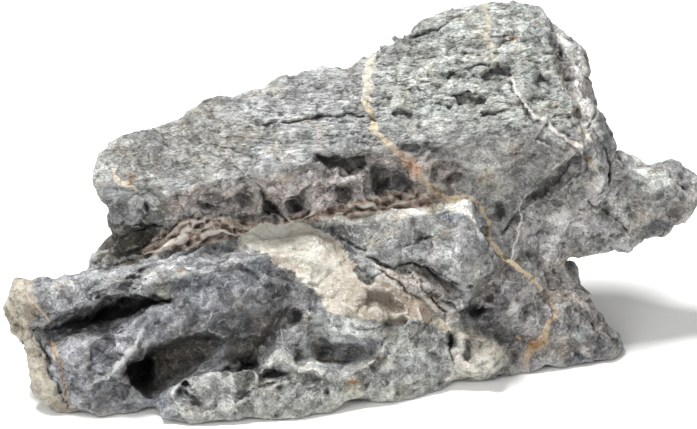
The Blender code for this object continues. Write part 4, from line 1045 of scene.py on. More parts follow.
# name: (colour, strength, softness mm, greatest depth behind the face mm, outline)
GROUNDS = {
    "upper_face": ("b1b2b1", 1.0, 6.0, 200, STRATA_FACE),
    "upper_left": ("979692", 1.0, 8.0, 200, [
        (40, 110), (75, 112), (110, 122), (125, 135), (110, 172), (60, 160)]),
    "nose": ("a9acad", 0.8, 3.0, 200, [
        (50, 122), (56, 128), (74, 119), (84, 116), (80, 112), (70, 113), (60, 114), (54, 112)]),
    # Bruised pale along the lip, with a painted highlight as well.
    "lip_bruise_and_highlight": ("bdbdbc", 0.7, 3.0, 200, [
        (74, 118), (84, 123), (104, 126), (122, 128.5), (122, 124), (104, 120.5), (84, 115.5), (75, 112)]),
    "head": ("b4b7b1", 0.9, 8.0, 200, [
        (190, 150), (250, 150), (290, 155), (275, 215), (215, 220), (192, 190)]),
    "smooth_head": ("93928f", 1.0, 3.0, 200, SMOOTH_FACE),
    "band": ("bab1ad", 1.0, 3.0, 80, [
        (84, 116), (100, 121), (125, 124), (145, 129), (165, 134.5), (185, 136), (205, 138), (233, 131),
        (228, 118), (200, 114), (175, 110), (150, 104), (130, 102), (118, 106), (104, 110), (92, 106),
        (84, 104)]),
    # Painted shade in the band's scoops, its niche and hollows, and in the slab's groove.
    "painted_shade_left": ("4f4947", 0.85, 1.3, 80, [(100, 112), (104, 119), (112, 120), (114, 113), (108, 109)]),
    "painted_shade_middle": ("4f4947", 0.8, 1.3, 80, [(116, 113), (118, 120), (125, 121), (127, 114), (121, 110)]),
    "painted_shade_scoop": ("453e3c", 0.8, 1.5, 80, [(144, 106), (146, 117), (152, 117), (150, 104)]),
    "painted_shade_right": ("4f4947", 0.75, 1.3, 80, [(166, 112), (168, 122), (177, 122), (176, 112)]),
    "painted_shade_niche": ("4c4a4a", 0.85, 1.6, 80, [
        (184, 120), (186, 132), (200, 131), (207, 123), (202, 116), (190, 117)]),
    "painted_shade_foot": ("3a3431", 0.85, 1.3, 90, [(117, 103), (119, 108), (126, 107), (129, 103), (124, 101)]),
    "painted_shade_groove": ("2e2927", 0.9, 1.0, 90, [
        (133, 113), (137, 110), (141, 104.5), (136, 104.5), (133.5, 108)]),
    # Painted shadow in the gap under the nose.
    "shadow_under_nose": ("22211e", 0.8, 1.0, 110, [
        (60, 97), (64, 101), (74, 102.5), (82, 101.5), (80, 98), (68, 96)]),
    "lower_top": ("a3a4a6", 1.0, 3.0, 90, [
        (8, 68), (30, 70), (52, 62), (66, 68), (77, 73), (89, 76.5), (112, 82), (136, 88), (130, 96),
        (95, 94), (60, 86), (10, 84)]),
    "lower_front": ("8a8b8f", 1.0, 3.0, 60, [
        (14, 66), (30, 68), (52, 61), (66, 67), (77, 72), (89, 76), (112, 81), (136, 87), (146, 78),
        (146, 60), (138, 38), (112, 30), (84, 24), (78, 0), (36, 4), (22, 40)]),
    "lower_left": ("98989c", 0.9, 4.0, 60, [(22, 42), (56, 50), (66, 46), (60, 34), (60, 10), (36, 6)]),
    # Painted shade deep in the left end of the gap between the slabs.
    "recess_left": ("58554c", 1.0, 2.0, 90, [
        (48, 80), (50, 104), (66, 101), (80, 101), (84, 92), (64, 82)]),
    # Painted shade: the big pit and the valley are darker inside.
    "pit": ("66625d", 1.0, 1.2, 70, [
        (60, 30), (76, 41.5), (95, 49), (110.5, 47), (105, 36.5), (89.5, 26), (72.5, 16.5), (61, 25)]),
    "valley": ("5d5852", 0.9, 4.0, 70, [(126, 60), (143, 60), (138, 46), (126, 34), (112, 32), (114, 42)]),
    "ledge": ("8f908d", 1.0, 2.5, 45, LEDGE),
    "ledge_left": ("707379", 1.0, 2.0, 45, [(79, 0), (80, 16), (84, 20), (88, 8), (96, 0)]),
    "scoop": ("959696", 1.0, 2.5, 60, [(150, 44), (162, 48), (188, 46), (192, 40), (178, 30), (158, 28)]),
    "block": ("8d8d8c", 1.0, 2.5, 60, BLOCK),
    # Painted light and shade on the block: a paler top and two darker facets.
    "block_top": ("e9e6db", 0.9, 1.2, 80, [
        (148, 102.5), (160, 106.5), (190, 109), (215, 112), (232, 115), (237, 107), (222, 108),
        (200, 105), (172, 103)]),
    "block_dark": ("6f7172", 0.7, 1.5, 70, [
        (151, 99), (153, 103), (160, 103), (171, 102), (170, 95), (160, 98)]),
    "block_facet": ("727674", 0.7, 1.2, 70, [
        (203, 90), (208, 93), (213, 95.5), (219, 95.5), (217, 90), (210, 88)]),
    "chin_brown": ("6d6764", 0.75, 1.5, 70, [
        (202, 81.5), (213, 79.5), (220, 75), (230, 71), (222, 66), (212, 73)]),
    # Painted light and shade on the folds: a shaded side and a paler lit crest.
    "fold_shade": ("6c6c6b", 0.7, 1.2, 90, [
        (64, 75), (68, 79), (73, 82), (79, 85), (79.5, 81), (75, 78), (70, 74.5)]),
    "fold_pale": ("cfcfcb", 0.75, 1.5, 90, [
        (73, 76.5), (78, 81.5), (90, 82), (104, 80), (102, 78), (92, 77.5), (82, 77)]),
    # Painted light and shade on the lower slab: lit and shaded facets each get a tone, some a little tinted,
    # with a painted highlight on the pit's lip and painted shade in the pit and on the shelf.
    "facet_cool": ("696b73", 0.85, 0.8, 70, [
        (86, 68), (88, 75), (97, 77), (106, 76), (104, 71), (98, 68), (92, 69)]),
    "facet_middle": ("6b6c73", 0.8, 0.8, 70, [
        (108, 68), (110, 76), (118, 80), (120, 74), (118, 67), (112, 66)]),
    "facet_streak": ("b9b9bf", 0.9, 1.0, 70, [
        (97, 61), (98, 66), (101, 70), (104, 67), (106, 62), (101, 60)]),
    "facet_green": ("a0a193", 0.9, 0.9, 70, [(77, 66), (77, 73.5), (83, 75), (86, 73), (85, 66), (80, 65)]),
    "facet_over_pit": ("5c5d61", 0.9, 0.9, 70, [
        (103, 50), (110, 55), (113, 58), (124, 57), (126, 50), (122, 44), (112, 44), (111, 48)]),
    "pit_lip": ("a6a5a8", 0.85, 1.0, 70, [
        (101, 51.5), (105, 55), (110, 56), (114, 59), (117, 60.5), (111, 60.5), (104, 58), (92, 54.5),
        (82, 49), (74, 43.5), (72, 46), (84, 53), (92, 57), (100, 57), (99, 53)]),
    "facet_right": ("7a7c7e", 0.7, 0.9, 70, [(118, 60), (120, 70), (130, 72), (132, 62), (128, 56)]),
    "facet_high": ("5f6167", 0.85, 0.9, 70, [
        (121, 78), (124, 84), (134, 86.5), (137, 83), (135, 78), (126, 76)]),
    "facet_by_calcite": ("54555b", 0.9, 0.9, 70, [
        (132, 72), (136, 74.5), (143, 72.5), (147, 66), (141, 63.5), (134, 66)]),
    "facet_violet": ("9a969b", 0.8, 0.9, 70, [
        (142, 57), (149, 64), (160, 64), (163, 60), (156, 56), (150, 62)]),
    "pit_shade": ("1b1a18", 0.78, 0.9, 75, [
        (60.5, 26), (60.5, 30), (65, 37), (72, 41.8), (80, 44), (90, 47.4), (98, 49.6), (105, 49.2),
        (110.4, 47), (110.6, 43.5), (105, 45.2), (98, 45.4), (88, 42.6), (79, 39), (75, 33), (76, 25),
        (79, 15), (72, 17), (66, 22)]),
    "facet_low": ("6d6e71", 0.85, 0.9, 70, [
        (48, 26), (53, 27.5), (60, 26), (66, 22), (72, 17), (68, 14), (60, 15), (54, 17), (49, 20)]),
    "facet_left_pale": ("a6a6ac", 0.8, 0.9, 70, [
        (33, 30), (34, 42), (38, 44), (42, 38), (41, 31), (47, 25), (48, 16), (40, 13), (38, 17),
        (34, 24)]),
    "facet_left_dark": ("6f7073", 0.8, 1.4, 70, [
        (43, 31), (43, 38), (49, 41), (56, 38), (57, 33), (51, 29)]),
    "shelf_shade": ("68686a", 0.8, 1.4, 70, [
        (20, 47), (30, 50), (42, 54.5), (56, 56.5), (66, 59), (62, 54), (50, 50), (40, 47.5), (26, 43),
        (21, 44)]),
    # Painted light and shade on the block's facets: paler lit planes, a painted highlight along its edge and
    # darker shaded planes.
    "block_plane": ("b0b1b0", 0.6, 0.9, 70, [
        (222, 80), (224, 92), (236, 96), (243, 92), (248, 83), (244, 76), (236, 71), (228, 74)]),
    "block_edge": ("d8d8d5", 0.9, 0.8, 70, [
        (231, 113.5), (234, 114), (238, 107), (241, 99), (245, 92), (248.5, 82), (246, 78), (244, 90),
        (239, 97), (235, 105)]),
    "block_plane_left": ("a8aaa8", 0.6, 0.9, 70, [
        (184, 91), (182, 99), (190, 103), (198, 101), (200, 95), (196, 89)]),
    "block_shade": ("717475", 0.85, 0.9, 70, [
        (171, 95), (172, 101), (178, 102), (181, 95), (183, 88.5), (178, 87), (172, 90.5)]),
    "block_corner": ("7d8288", 0.85, 0.8, 70, [
        (220, 104), (222, 108.5), (231, 109), (232, 105), (226, 103)]),
    "block_low": ("8b8c8d", 0.7, 0.9, 70, [
        (201, 87), (204, 92), (210, 94), (220, 96), (222, 88), (216, 85), (208, 84)]),
    # Painted shade in a small pit under the chin.
    "chin_pit": ("3c3a38", 0.9, 0.9, 200, [
        (246.5, 107), (247, 112), (251, 112), (252.6, 107), (249.5, 105.4)]),
    "ledge_brow": ("c9cdca", 0.75, 1.2, 70, [
        (152, 57), (160, 59.5), (172, 57.5), (180, 56), (190, 52), (191, 46.5), (176, 46), (163, 46),
        (158, 48)]),
    "ledge_far": ("b8bab5", 0.6, 1.5, 80, [
        (192, 45), (196, 52), (206, 52), (214, 50), (220, 44), (214, 36), (200, 36)]),
    "inclusion": ("7b7b73", 1.0, 0.8, 70, INCLUSION),
    # Painted light and shade: the valley's deep part and the dimple's floor are darker, and one valley facet
    # paler.
    "valley_deep": ("34302b", 0.9, 1.1, 80, [
        (137, 45), (134, 49), (136, 56), (141, 62.5), (144, 61), (141, 54), (139.5, 48)]),
    "valley_pale": ("98999b", 0.8, 0.9, 80, [
        (141, 49), (142, 55), (145, 57), (146, 52), (152, 52), (153, 46), (147, 44), (139, 45)]),
    "dimple_floor": ("4c4c50", 0.9, 0.8, 80, [
        (146, 52), (144.5, 57), (147, 62), (151, 61), (152, 56), (149, 51)]),
    # Painted light and shade in the scoop: a paler lit floor and step, and a darker deep part.
    "scoop_floor": ("b4b6b7", 0.95, 0.9, 80, [
        (150, 35), (149, 41), (152, 45), (157.5, 46), (163, 44.5), (176, 45), (188, 45.2), (190.8, 43),
        (189.5, 39), (184, 36.5), (179, 34), (176, 30.5), (172, 27.8), (168, 28.8), (165, 30),
        (162.5, 28.5), (158, 31), (153, 32.5)]),
    "scoop_deep": ("8c8d8b", 0.8, 1.6, 80, [
        (170, 42), (180, 44), (189, 42), (187, 38), (178, 33.5), (172, 28.5), (166, 30), (157, 32),
        (160, 37), (166, 36)]),
    "scoop_step": ("b4b6b5", 0.8, 0.6, 80, [
        (149, 39), (152, 38), (156.5, 38.2), (157.5, 41), (157, 45), (158.5, 45), (159, 39), (157, 37),
        (151, 37.3)]),
    # Painted shade in the ledge's cups, its slit and its pits.
    "cup_hood": ("5f605f", 0.95, 0.8, 80, [
        (130, 25.5), (131, 30), (134, 32.4), (138, 33.6), (142, 32), (144.5, 28), (147, 25.8),
        (144, 24.2), (138, 25)]),
    "cup_shadow": ("2b2927", 0.95, 0.8, 80, [
        (116, 33), (120, 34.5), (124, 33.5), (130, 34.5), (130, 31), (126, 29), (122, 29.6), (120, 31)]),
    "cup_low": ("3b3a38", 0.9, 0.8, 80, [
        (117.5, 15.8), (118.5, 19.5), (123, 21), (127, 20), (131, 22.5), (139, 24), (146, 26), (147, 24),
        (138, 21.8), (131, 20.8), (126, 17), (121, 15)]),
    "cup_left": ("5a5a57", 0.85, 0.7, 80, [(90, 20.5), (92, 22.6), (97, 22.3), (100, 20.8), (95, 19.6)]),
    "cup_slit": ("454440", 0.9, 0.6, 80, [(93, 13.6), (97, 15), (101.5, 14.4), (100, 13), (96, 12.8)]),
    "cup_pit": ("4a4b4a", 0.9, 0.6, 80, [(137.8, 18.8), (140, 20.8), (143.4, 20), (142, 18.2)]),
    "cup_knob": ("7b7c79", 0.8, 0.8, 80, [(111, 26), (112, 30), (115.5, 30.5), (116, 27), (114, 25)]),
    # Painted highlight along the ledge's crests.
    "crest_high": ("d0d0c9", 0.9, 0.7, 80, [
        (131, 32.5), (133, 36), (138, 38.6), (142, 38), (147, 34.5), (152, 32.5), (158, 31.6), (163, 28),
        (170, 27.4), (175, 28.6), (180, 33.6), (189, 37.8), (191.6, 44), (194, 44), (191.5, 36),
        (182, 31), (176, 26), (165, 25), (155, 28), (148, 29.2), (144, 32), (139, 34.8), (133, 31.4)]),
    "crest_left": ("c4c4c1", 0.65, 0.8, 80, [
        (86, 18), (87.5, 23), (93, 26.5), (100, 28.4), (107, 29), (111, 31.8), (115, 32.3), (118, 29.5),
        (118, 24), (122, 21.4), (117, 18.5), (114.5, 23), (111, 25), (104, 26), (96, 24.5), (90, 21.5),
        (88.5, 17)]),
    "crest_foot": ("bcbdb6", 0.55, 0.8, 80, [
        (89, 10), (93, 12.6), (100, 12.2), (106, 14), (111, 13), (118, 14.4), (124, 16), (130, 20),
        (137, 21), (139, 19), (130, 15), (120, 12), (108, 9), (98, 7), (92, 5)]),
    "brown_fan": ("c6bdb4", 1.0, 2.5, 60, [
        (186, 83), (206, 80), (232, 68), (230, 54), (216, 52), (200, 70)]),
    "neck": ("858280", 1.0, 4.0, 200, [(232, 70), (252, 88), (290, 86), (280, 28), (240, 26), (256, 44)]),
    "foot": ("8d8986", 1.0, 4.0, 230, [(272, 86), (292, 78), (314, 38), (296, 28), (272, 27)]),
    "shoulder": ("aaa8a6", 1.0, 4.0, 170, [(254, 98), (292, 138), (312, 134), (312, 86), (258, 80)]),
    "arm": ("b0b0af", 1.0, 4.0, 160, [(300, 140), (330, 136), (350, 124), (336, 96), (312, 86), (300, 90)]),
    "ledge_foot": ("a9aaa3", 0.8, 2.0, 45, [
        (117.5, 0), (118, 8), (150, 15), (190, 22), (220, 30), (226, 24), (190, 4), (150, 0)]),
    # Painted light and shade on the arm: a paler top and a darker underside.
    "arm_top": ("b4b4b2", 0.6, 4.0, 160, [(303, 138), (312, 142), (326, 136), (330, 126), (312, 126)]),
    "arm_low": ("8b8784", 0.8, 4.0, 160, [
        (318, 94), (322, 108), (338, 112), (352, 122), (352, 100), (330, 90)]),
    "nodule": ("d2cec6", 1.0, 2.0, 70, NODULE),
    # Painted shade on the facet under the head, which faces down.
    "under_head": ("5d5b59", 1.0, 0.8, 120, [
        (290.6, 140), (281.5, 125), (266, 113), (254.5, 98), (250, 98), (259.5, 111.5), (269.5, 120),
        (279.5, 128.5)]),
    "cheek": ("e4e3e0", 1.0, 2.5, 120, [
        (275, 206), (291, 188), (300, 162), (300, 146), (291, 141), (286, 162), (277, 188)]),
    "cheek_shade": ("7d7673", 0.65, 2.0, 120, [
        (275, 202), (281, 192), (288, 180), (292, 166), (288, 158), (281, 174), (276.5, 188)]),
    "cheek_bruise": ("dcdcda", 0.9, 1.6, 120, [(287, 197), (291, 198), (296, 187), (291, 184)]),
    # Most rows below are painted light and shade: lit and shaded facets on the fan, the foot, the arm, the
    # neck and the shoulder, and painted shade in the neck's chip and seam. foot_pink and arm_streak are the
    # stone's own colour.
    "fan_facet": ("b4b3b5", 0.85, 0.9, 70, [
        (221, 66), (225, 69), (234, 70), (236, 67), (230, 61), (224, 58)]),
    "foot_dark": ("54575d", 0.9, 1.0, 230, [
        (283, 30), (282.5, 35), (290, 38.4), (296, 35), (303, 36.4), (308, 40), (309.5, 44.5),
        (302, 45.6), (297, 41), (296, 31)]),
    "foot_pale": ("b6b9b8", 0.85, 0.9, 230, [(287, 46), (289, 51), (295, 52.4), (299, 47), (294, 42.6)]),
    "foot_pink": ("b3a9a2", 0.8, 1.2, 230, [
        (273, 72), (285, 70), (293, 66), (298, 58), (285, 62), (277, 64)]),
    "foot_shade": ("767473", 0.7, 1.2, 230, [
        (276, 56), (284, 60), (297, 56), (290, 53), (284, 50), (279, 46)]),
    "arm_dark": ("585d65", 0.9, 0.9, 160, [
        (325.5, 98.5), (326.5, 104.4), (333, 103.6), (337.4, 101), (333, 97)]),
    "arm_joint_shade": ("6c6866", 0.8, 1.1, 160, [
        (303, 140), (306, 141), (312, 135), (315, 126), (308, 118), (303, 122), (305, 130)]),
    "arm_streak": ("cfd3cd", 0.75, 1.2, 160, [
        (316, 120), (318, 128), (330, 129.6), (338, 126), (338, 121), (326, 119)]),
    "arm_facet": ("868482", 0.75, 1.1, 160, [
        (312, 108), (320, 116), (338, 119), (344, 114), (336, 107), (322, 104)]),
    "neck_dark": ("4c4c4b", 0.85, 0.8, 200, [(258.5, 86), (260, 89.5), (265, 89), (270, 85), (264, 84.3)]),
    "neck_chip": ("454545", 0.85, 0.7, 200, [(251, 76.5), (253, 79.4), (257, 79), (256, 77)]),
    "neck_plane": ("a7a5a7", 0.75, 1.0, 200, [
        (238, 67), (243, 74), (252, 75), (258, 68), (250, 62), (242, 61)]),
    "neck_low_plane": ("93918f", 0.75, 1.0, 200, [
        (246, 48), (248, 57), (258, 60), (266, 56), (262, 48), (254, 45)]),
    "neck_seam": ("3a3634", 0.85, 0.9, 200, [
        (229, 56), (233, 60), (239, 60.4), (244, 62), (243, 58), (237, 56)]),
    "shoulder_plane": ("bdbbba", 0.7, 1.2, 170, [
        (262, 92), (266, 104), (280, 110), (292, 104), (290, 95), (276, 90)]),
    "shoulder_shade": ("858280", 0.7, 1.2, 170, [
        (292, 92), (294, 104), (303, 110), (312, 104), (314, 96), (302, 90)]),
    "cream_branch": ("e6dcc8", 0.85, 1.0, 80, [
        (205, 60), (213, 59), (222, 54), (228, 51), (236, 50.4), (243, 46.5), (250, 40.5), (254, 36),
        (252, 33), (246, 38), (238, 44.5), (230, 46.5), (222, 49), (212, 54)]),
    # Painted shade in the nodule's hollow.
    "nodule_hollow": ("6f6e66", 0.8, 0.8, 80, [
        (231, 36), (230, 42), (233, 44.5), (237, 42), (236, 37), (233, 33.5)]),
}


def ground_colours(spots, depths):
    colour = np.tile(linear(LIMESTONE_GREY), (len(spots), 1))
    for hex_colour, strength, softness, reach, outline in GROUNDS.values():
        near = 1.0 - smooth_step(reach - GROUND_FADE, reach, depths)
        share = strength * soft_region(spots, outline, softness) * near
        colour += share[:, None] * (np.array(linear(hex_colour)) - colour)
    return colour


set_attribute(stone, "ground", ground_colours(spots, faced[:, 2]), "FLOAT_COLOR", "color")

CRUST = [(0, 80), (17, 76), (21, 62), (17, 50), (24, 34), (30, 20), (40, 5), (30, 0), (10, 20), (-5, 50)]
OCHRE_SPOTS = [
    (66.5, 123, 2.2), (53, 122.5, 1.8), (240, 125, 2), (246, 127, 1.8), (288.5, 158.5, 2.2),
    (294, 136, 2.2), (269, 203, 2.5), (257, 196, 2.5), (268, 42, 5), (91.5, 78.5, 2), (176, 24.5, 3),
    (150, 191, 6), (66, 126, 2.5), (214, 112, 3), (260, 44, 2.5), (128, 192, 4)]


def near_spots(spots, wanted):
    """1 at the middle of a spot and 0 at its edge, for spots given as (along, up, reach)."""
    strongest = np.zeros(len(spots))
    for along, up, reach in wanted:
        away = np.hypot(spots[:, 0] - along, spots[:, 1] - up)
        strongest = np.maximum(strongest, 1.0 - away / reach)
    return strongest


recess = near_region(spots, faced, RECESS, softness=2.5, depth=75)
# Painted shade in the listed hollows, kept on the points for the material.
hollow_shade = hollow_share(spots, HOLLOW_SHADE) * (faced[:, 2] < 90)
pale_crests = 1.0 - 0.2 * soft_region(spots, BAND, 3.0) - 0.45 * soft_region(spots, LOWER_FRONT, 4.0)
calcite = soft_region(spots, CALCITE, 2.5) * (1.0 - smooth_step(58, 68, faced[:, 2]))
calcite *= 1.0 - soft_region(spots, INCLUSION, 0.8)
crust = soft_region(spots, CRUST, 1.2) * (1.0 - smooth_step(50, 70, faced[:, 2]))
bedded = soft_region(spots, STRATA_FACE, 3.0) * (0.55 + 0.45 * smooth_step(70.0, 190.0, faced[:, 0]))
set_attribute(stone, "stains", np.stack([recess, calcite, crust], axis=1), "FLOAT_VECTOR", "vector")
set_attribute(stone, "hollow_shade", hollow_shade)
set_attribute(stone, "pale_crests", pale_crests)
set_attribute(stone, "marks", np.stack([bedded, near_spots(spots, OCHRE_SPOTS), nodule_share(spots, faced)],
                                       axis=1), "FLOAT_VECTOR", "vector")

# %% [markdown]
# ## Veins
#
# A vein is an old crack that calcite healed. It runs through the stone as a sheet, so each one is drawn as a
# line on the face and read at every depth: its path comes out again on the top and the back. Each point of a
# path carries the vein's half width there, and a width below nothing ends it.

# %% Read the veins
# name: [(along, up, half width), ...] in mm
VEINS = {
    "vein_main": [
        (187, 196, 2.4), (186, 183.5, 3.0), (184, 172, 2.9), (183, 164.5, 2.3), (186, 157, 1.5),
        (187, 149.5, 1.3), (192.5, 144.5, 1.5), (200, 137, 2.4), (207.5, 130.5, 2.8), (210.8, 124.5, 2.4),
        (222, 115.5, 1.6), (233.5, 115.5, 1.0), (241, 110.5, 1.0), (243.5, 104.2, 1.1), (245, 94.5, 1.2),
        (250, 88, 1.3), (260, 81, 1.2), (269, 72.5, 0.8), (275.3, 65, 0.7), (278, 57.5, 0.9),
        (274, 50, 1.8), (270.2, 41, 2.4), (264, 37, 2.0), (262, 30, 1.0), (262, 20, -1.5)],
    "vein_white": [
        (246, 190, -1.0), (250, 183.5, 0.5), (254, 178.5, 0.6), (257.5, 170.5, 0.7), (261.5, 164.5, 0.7),
        (265, 158.5, 0.7), (272.5, 152, 0.8), (280, 147, 0.8), (291, 140.5, 0.7), (296, 133, 0.5),
        (299, 124, -1.0)],
    "vein_edge": [
        (272.5, 202, -0.6), (277.5, 187, 0.5), (282.5, 174.5, 0.6), (287.5, 164.5, 1.0), (290, 152, 0.8),
        (291.5, 139.5, 0.7), (295, 134.5, 0.7), (299, 124.5, 0.3), (301, 118, -1.0)],
    "vein_faint": [
        (241, 222, 1.2), (242.5, 212, 1.6), (244, 199.5, 1.4), (247.5, 184.5, 1.0), (249, 178, -1.0)],
    "vein_thin": [(262.5, 117, -0.6), (261.5, 112, 0.35), (259, 97, 0.6), (256, 87, 0.35), (255, 82, -0.6)],
    "hairline": [
        (104, 150, -0.5), (112.5, 140.5, 0.16), (123, 126.5, 0.22), (133, 114, 0.16), (138, 108, -0.5)],
    "cream_streak": [
        (55, 131, -1.0), (58.7, 127.5, 1.1), (65, 122, 1.5), (69.5, 118.5, 0.8), (72, 115, -1.0)],
    "tan_line": [(13, 70.5, -0.6), (15.8, 67.5, 0.6), (25.8, 54.3, 0.6), (28, 51, -0.6)],
    "tan_seam": [
        (27, 47, -0.6), (28.5, 42.5, 0.9), (30.5, 34.5, 0.7), (33, 23.5, 0.7), (36, 14.5, 0.9),
        (39.5, 7.5, 0.6), (41, 3, -0.6)],
    "pale_line": [
        (73, 52, -0.6), (72, 49.5, 0.7), (68.5, 42.5, 0.9), (60, 33, 1.1), (50, 24.5, 0.8), (46, 21, -0.8)],
}


def read_vein(spots, path):
    """For every point: its signed distance from the vein, the length along it, and the vein's half width."""
    line = [(along, up) for along, up, _ in path]
    away, reached, side = path_distance(spots, line)
    steps = np.hypot(*np.diff(np.array(line, float), axis=0).T)
    lengths = np.concatenate([[0.0], np.cumsum(steps)])
    half_width = np.interp(reached, lengths, [width for _, _, width in path])
    return np.stack([away * side, reached, half_width], axis=1)


for name, path in VEINS.items():
    set_attribute(stone, name, read_vein(spots, path), "FLOAT_VECTOR", "vector")
print("veins read:", ", ".join(VEINS))

# %% [markdown]
# ## The limestone
#
# Seiryu stone is a dense marine limestone, folded and veined with calcite and then dissolved by rain. The eye
# gets a matt blue-grey mottled at every scale from a hand to a grain, thin streaks along its beds, white
# flecks of calcite, pale bruised crests with a painted highlight, and hollows and cracks darkened by painted
# shade. The pattern sizes below are real millimetres, read from the face frame. Calcite's refractive index
# is 1.6 and its broken faces are a little glossier.

# %% Read what the skin's points say
tree = limestone.node_tree
paint = functools.partial(add_node, tree)  # adds a node to this tree


def parts_of(name):
    """The three numbers that an attribute holds, as X, Y and Z."""
    return paint("to_xyz", paint("attribute", attribute_name=name).node.outputs["Vector"]).node.outputs


mm_place = paint("attribute", attribute_name="face_mm").node.outputs["Vector"]
stretch_turn = paint("ShaderNodeVectorRotate", Vector=mm_place, Angle=-0.13, rotation_type="Z_AXIS")
bed_place = paint("vector_multiply", stretch_turn, (0.3, 1.0, 0.6))
relief = parts_of("relief")
stains = parts_of("stains")
marks = parts_of("marks")


def by_bedding(unbedded, bedded):
    """A value that goes from the one to the other as the stone's beds show more."""
    return paint("ShaderNodeMapRange", marks["X"], 0.0, 1.0, unbedded, bedded)


def drawn_along_beds(stretch):
    """The place to read a pattern at, drawn out along the beds where they show."""
    drawn_out = paint("vector_multiply", stretch_turn, stretch)
    return paint("ShaderNodeMix", marks["X"], mm_place, drawn_out, data_type="VECTOR")


print("points read:", len(tree.nodes), "nodes")

# %% Mottles and greys
# A noise's scale is one over the size of its lumps in mm: a hand's breadth of stone down to its grain.
broad_mottle = paint("noise", mm_place, 1.0 / 26.0, 3.0, 0.6)
mottle = paint("noise", mm_place, 1.0 / 7.0, 6.0, 0.7, Distortion=0.5)
fine_place = drawn_along_beds((0.45, 1.2, 1.0))
speckle = paint("noise", fine_place, 1.0 / 1.1, 4.0, 0.75)
streaks = paint("noise", bed_place, 1.0 / 2.0, 5.0, 0.72, Distortion=0.4)

# Greys: the ground's own colour, darkened and paled by the mottles and the streaks.
grey = paint("attribute", attribute_name="ground")
shade = paint("smooth_step", broad_mottle, 0.3, 0.7, 0.72, 1.26)
shade = paint("multiply", shade, paint("smooth_step", mottle, 0.36, 0.64, 0.62, 1.4))
grain = paint("smooth_step", speckle, 0.32, 0.68, -1.0, 1.0)
shade = paint("multiply", shade, paint("multiply_add", grain, by_bedding(0.32, 0.5), 1.0))
bed_shade = paint("smooth_step", streaks, 0.36, 0.62, 0.68, 1.26)
bed_shade = paint("ShaderNodeMix", paint("multiply", marks["X"], 0.85), 1.0, bed_shade, data_type="FLOAT")
shade = paint("multiply", shade, bed_shade)
grey = paint("tint", 1.0, grey, paint("from_xyz", shade, shade, shade))

# Warm and cool patches, from iron and from clay in the beds.
warm = paint("smooth_step", paint("noise", mm_place, 1.0 / 15.0, 4.0, 0.65), 0.5, 0.68)
grey = paint("mix", paint("multiply", warm, 0.5), grey, paint("tint", 1.0, grey, linear("f6e6c8")))
cool = paint("smooth_step", paint("noise", mm_place, 1.0 / 19.0, 4.0, 0.6), 0.5, 0.34)
grey = paint("mix", paint("multiply", cool, 0.4), grey, paint("tint", 1.0, grey, linear("e2ebf2")))

print("greys laid:", len(tree.nodes), "nodes")

# %% Cracks and pits
# Thin open cracks are a network that follows the beds where the stone is bedded.
CRACK_SPACING = 7.5  # mm between the thin cracks
crack_place = drawn_along_beds((0.36, 1.5, 1.0))
crack_bend = paint("noise", crack_place, 0.16, 4.0, 0.6).node.outputs["Color"]
crack_bend = paint("vector_scale", crack_bend, 8.0)
crack_place = paint("vector_add", crack_place, crack_bend)
crack_net = paint("cells", crack_place, 1.0 / CRACK_SPACING, feature="DISTANCE_TO_EDGE")

# Each piece of stone between the cracks broke its own way, so it has a tone of its own.
facet_cells = paint("cells", crack_place, 1.0 / CRACK_SPACING).node.outputs["Color"]
facet_tone = paint("smooth_step", facet_cells, 0.28, 0.72, -1.0, 1.0)
facet_tone = paint("multiply_add", facet_tone, by_bedding(0.3, 0.07), 1.0)
grey = paint("tint", 1.0, grey, paint("from_xyz", facet_tone, facet_tone, facet_tone))
crack_patch = paint("smooth_step", paint("noise", mm_place, 1.0 / 9.0, 3.0, 0.6), 0.46, 0.6)
thin_cracks = paint("multiply", paint("smooth_step", crack_net, 0.05, 0.012), crack_patch)
# Painted shade: thin cracks and tiny pits are darkened.
pit_noise = paint("noise", mm_place, 1.0 / 1.9, 2.0, 0.5)
dark_pits = paint("multiply", paint("smooth_step", pit_noise, 0.64, 0.72),
                  paint("smooth_step", mottle, 0.4, 0.55))
crack_and_pit_shade = paint("maximum", paint("multiply", thin_cracks, by_bedding(0.36, 0.75)),
                   paint("multiply", dark_pits, 0.65))
grey = paint("mix", crack_and_pit_shade, grey, linear("3a3836"))

print("cracks and pits laid:", len(tree.nodes), "nodes")

# %% Pale flecks and hairlines of calcite
fleck_noise = paint("noise", mm_place, 1.0 / 2.6, 4.0, 0.75, Distortion=0.8)
flecks = paint("multiply", paint("smooth_step", fleck_noise, 0.6, 0.72),
               paint("smooth_step", broad_mottle, 0.42, 0.6, 0.15, 0.8))
grey = paint("mix", flecks, grey, linear("d8d9d5"))
wisps = paint("noise", mm_place, 1.0 / 6.5, 7.0, 0.72, Distortion=1.6)
# Pale wisps and hairlines stay off the dark grounds, most of which are painted shade.
ground_tone = paint("attribute", attribute_name="ground")
pale_ground = paint("smooth_step", ground_tone, 0.02, 0.17, 0.12, 1.0)
pale_wisps = paint("multiply", paint("smooth_step", wisps, 0.53, 0.68, 0.0, 0.6), pale_ground)
grey = paint("mix", pale_wisps, grey, linear("d3d4d2"))
grey = paint("mix", paint("smooth_step", wisps, 0.44, 0.32, 0.0, 0.5), grey, linear("4a4a4c"))
specks = paint("noise", fine_place, 1.0 / 1.6, 2.0, 0.6)
speck_share = paint("multiply", marks["X"], 0.26)
pale_specks = paint("multiply", paint("smooth_step", specks, 0.6, 0.68), speck_share)
grey = paint("mix", pale_specks, grey, linear("dfe0dc"))
dark_specks = paint("multiply", paint("smooth_step", specks, 0.4, 0.32), speck_share)
grey = paint("mix", dark_specks, grey, linear("45433f"))
net = paint("cells", mm_place, 1.0 / 46.0, feature="DISTANCE_TO_EDGE")
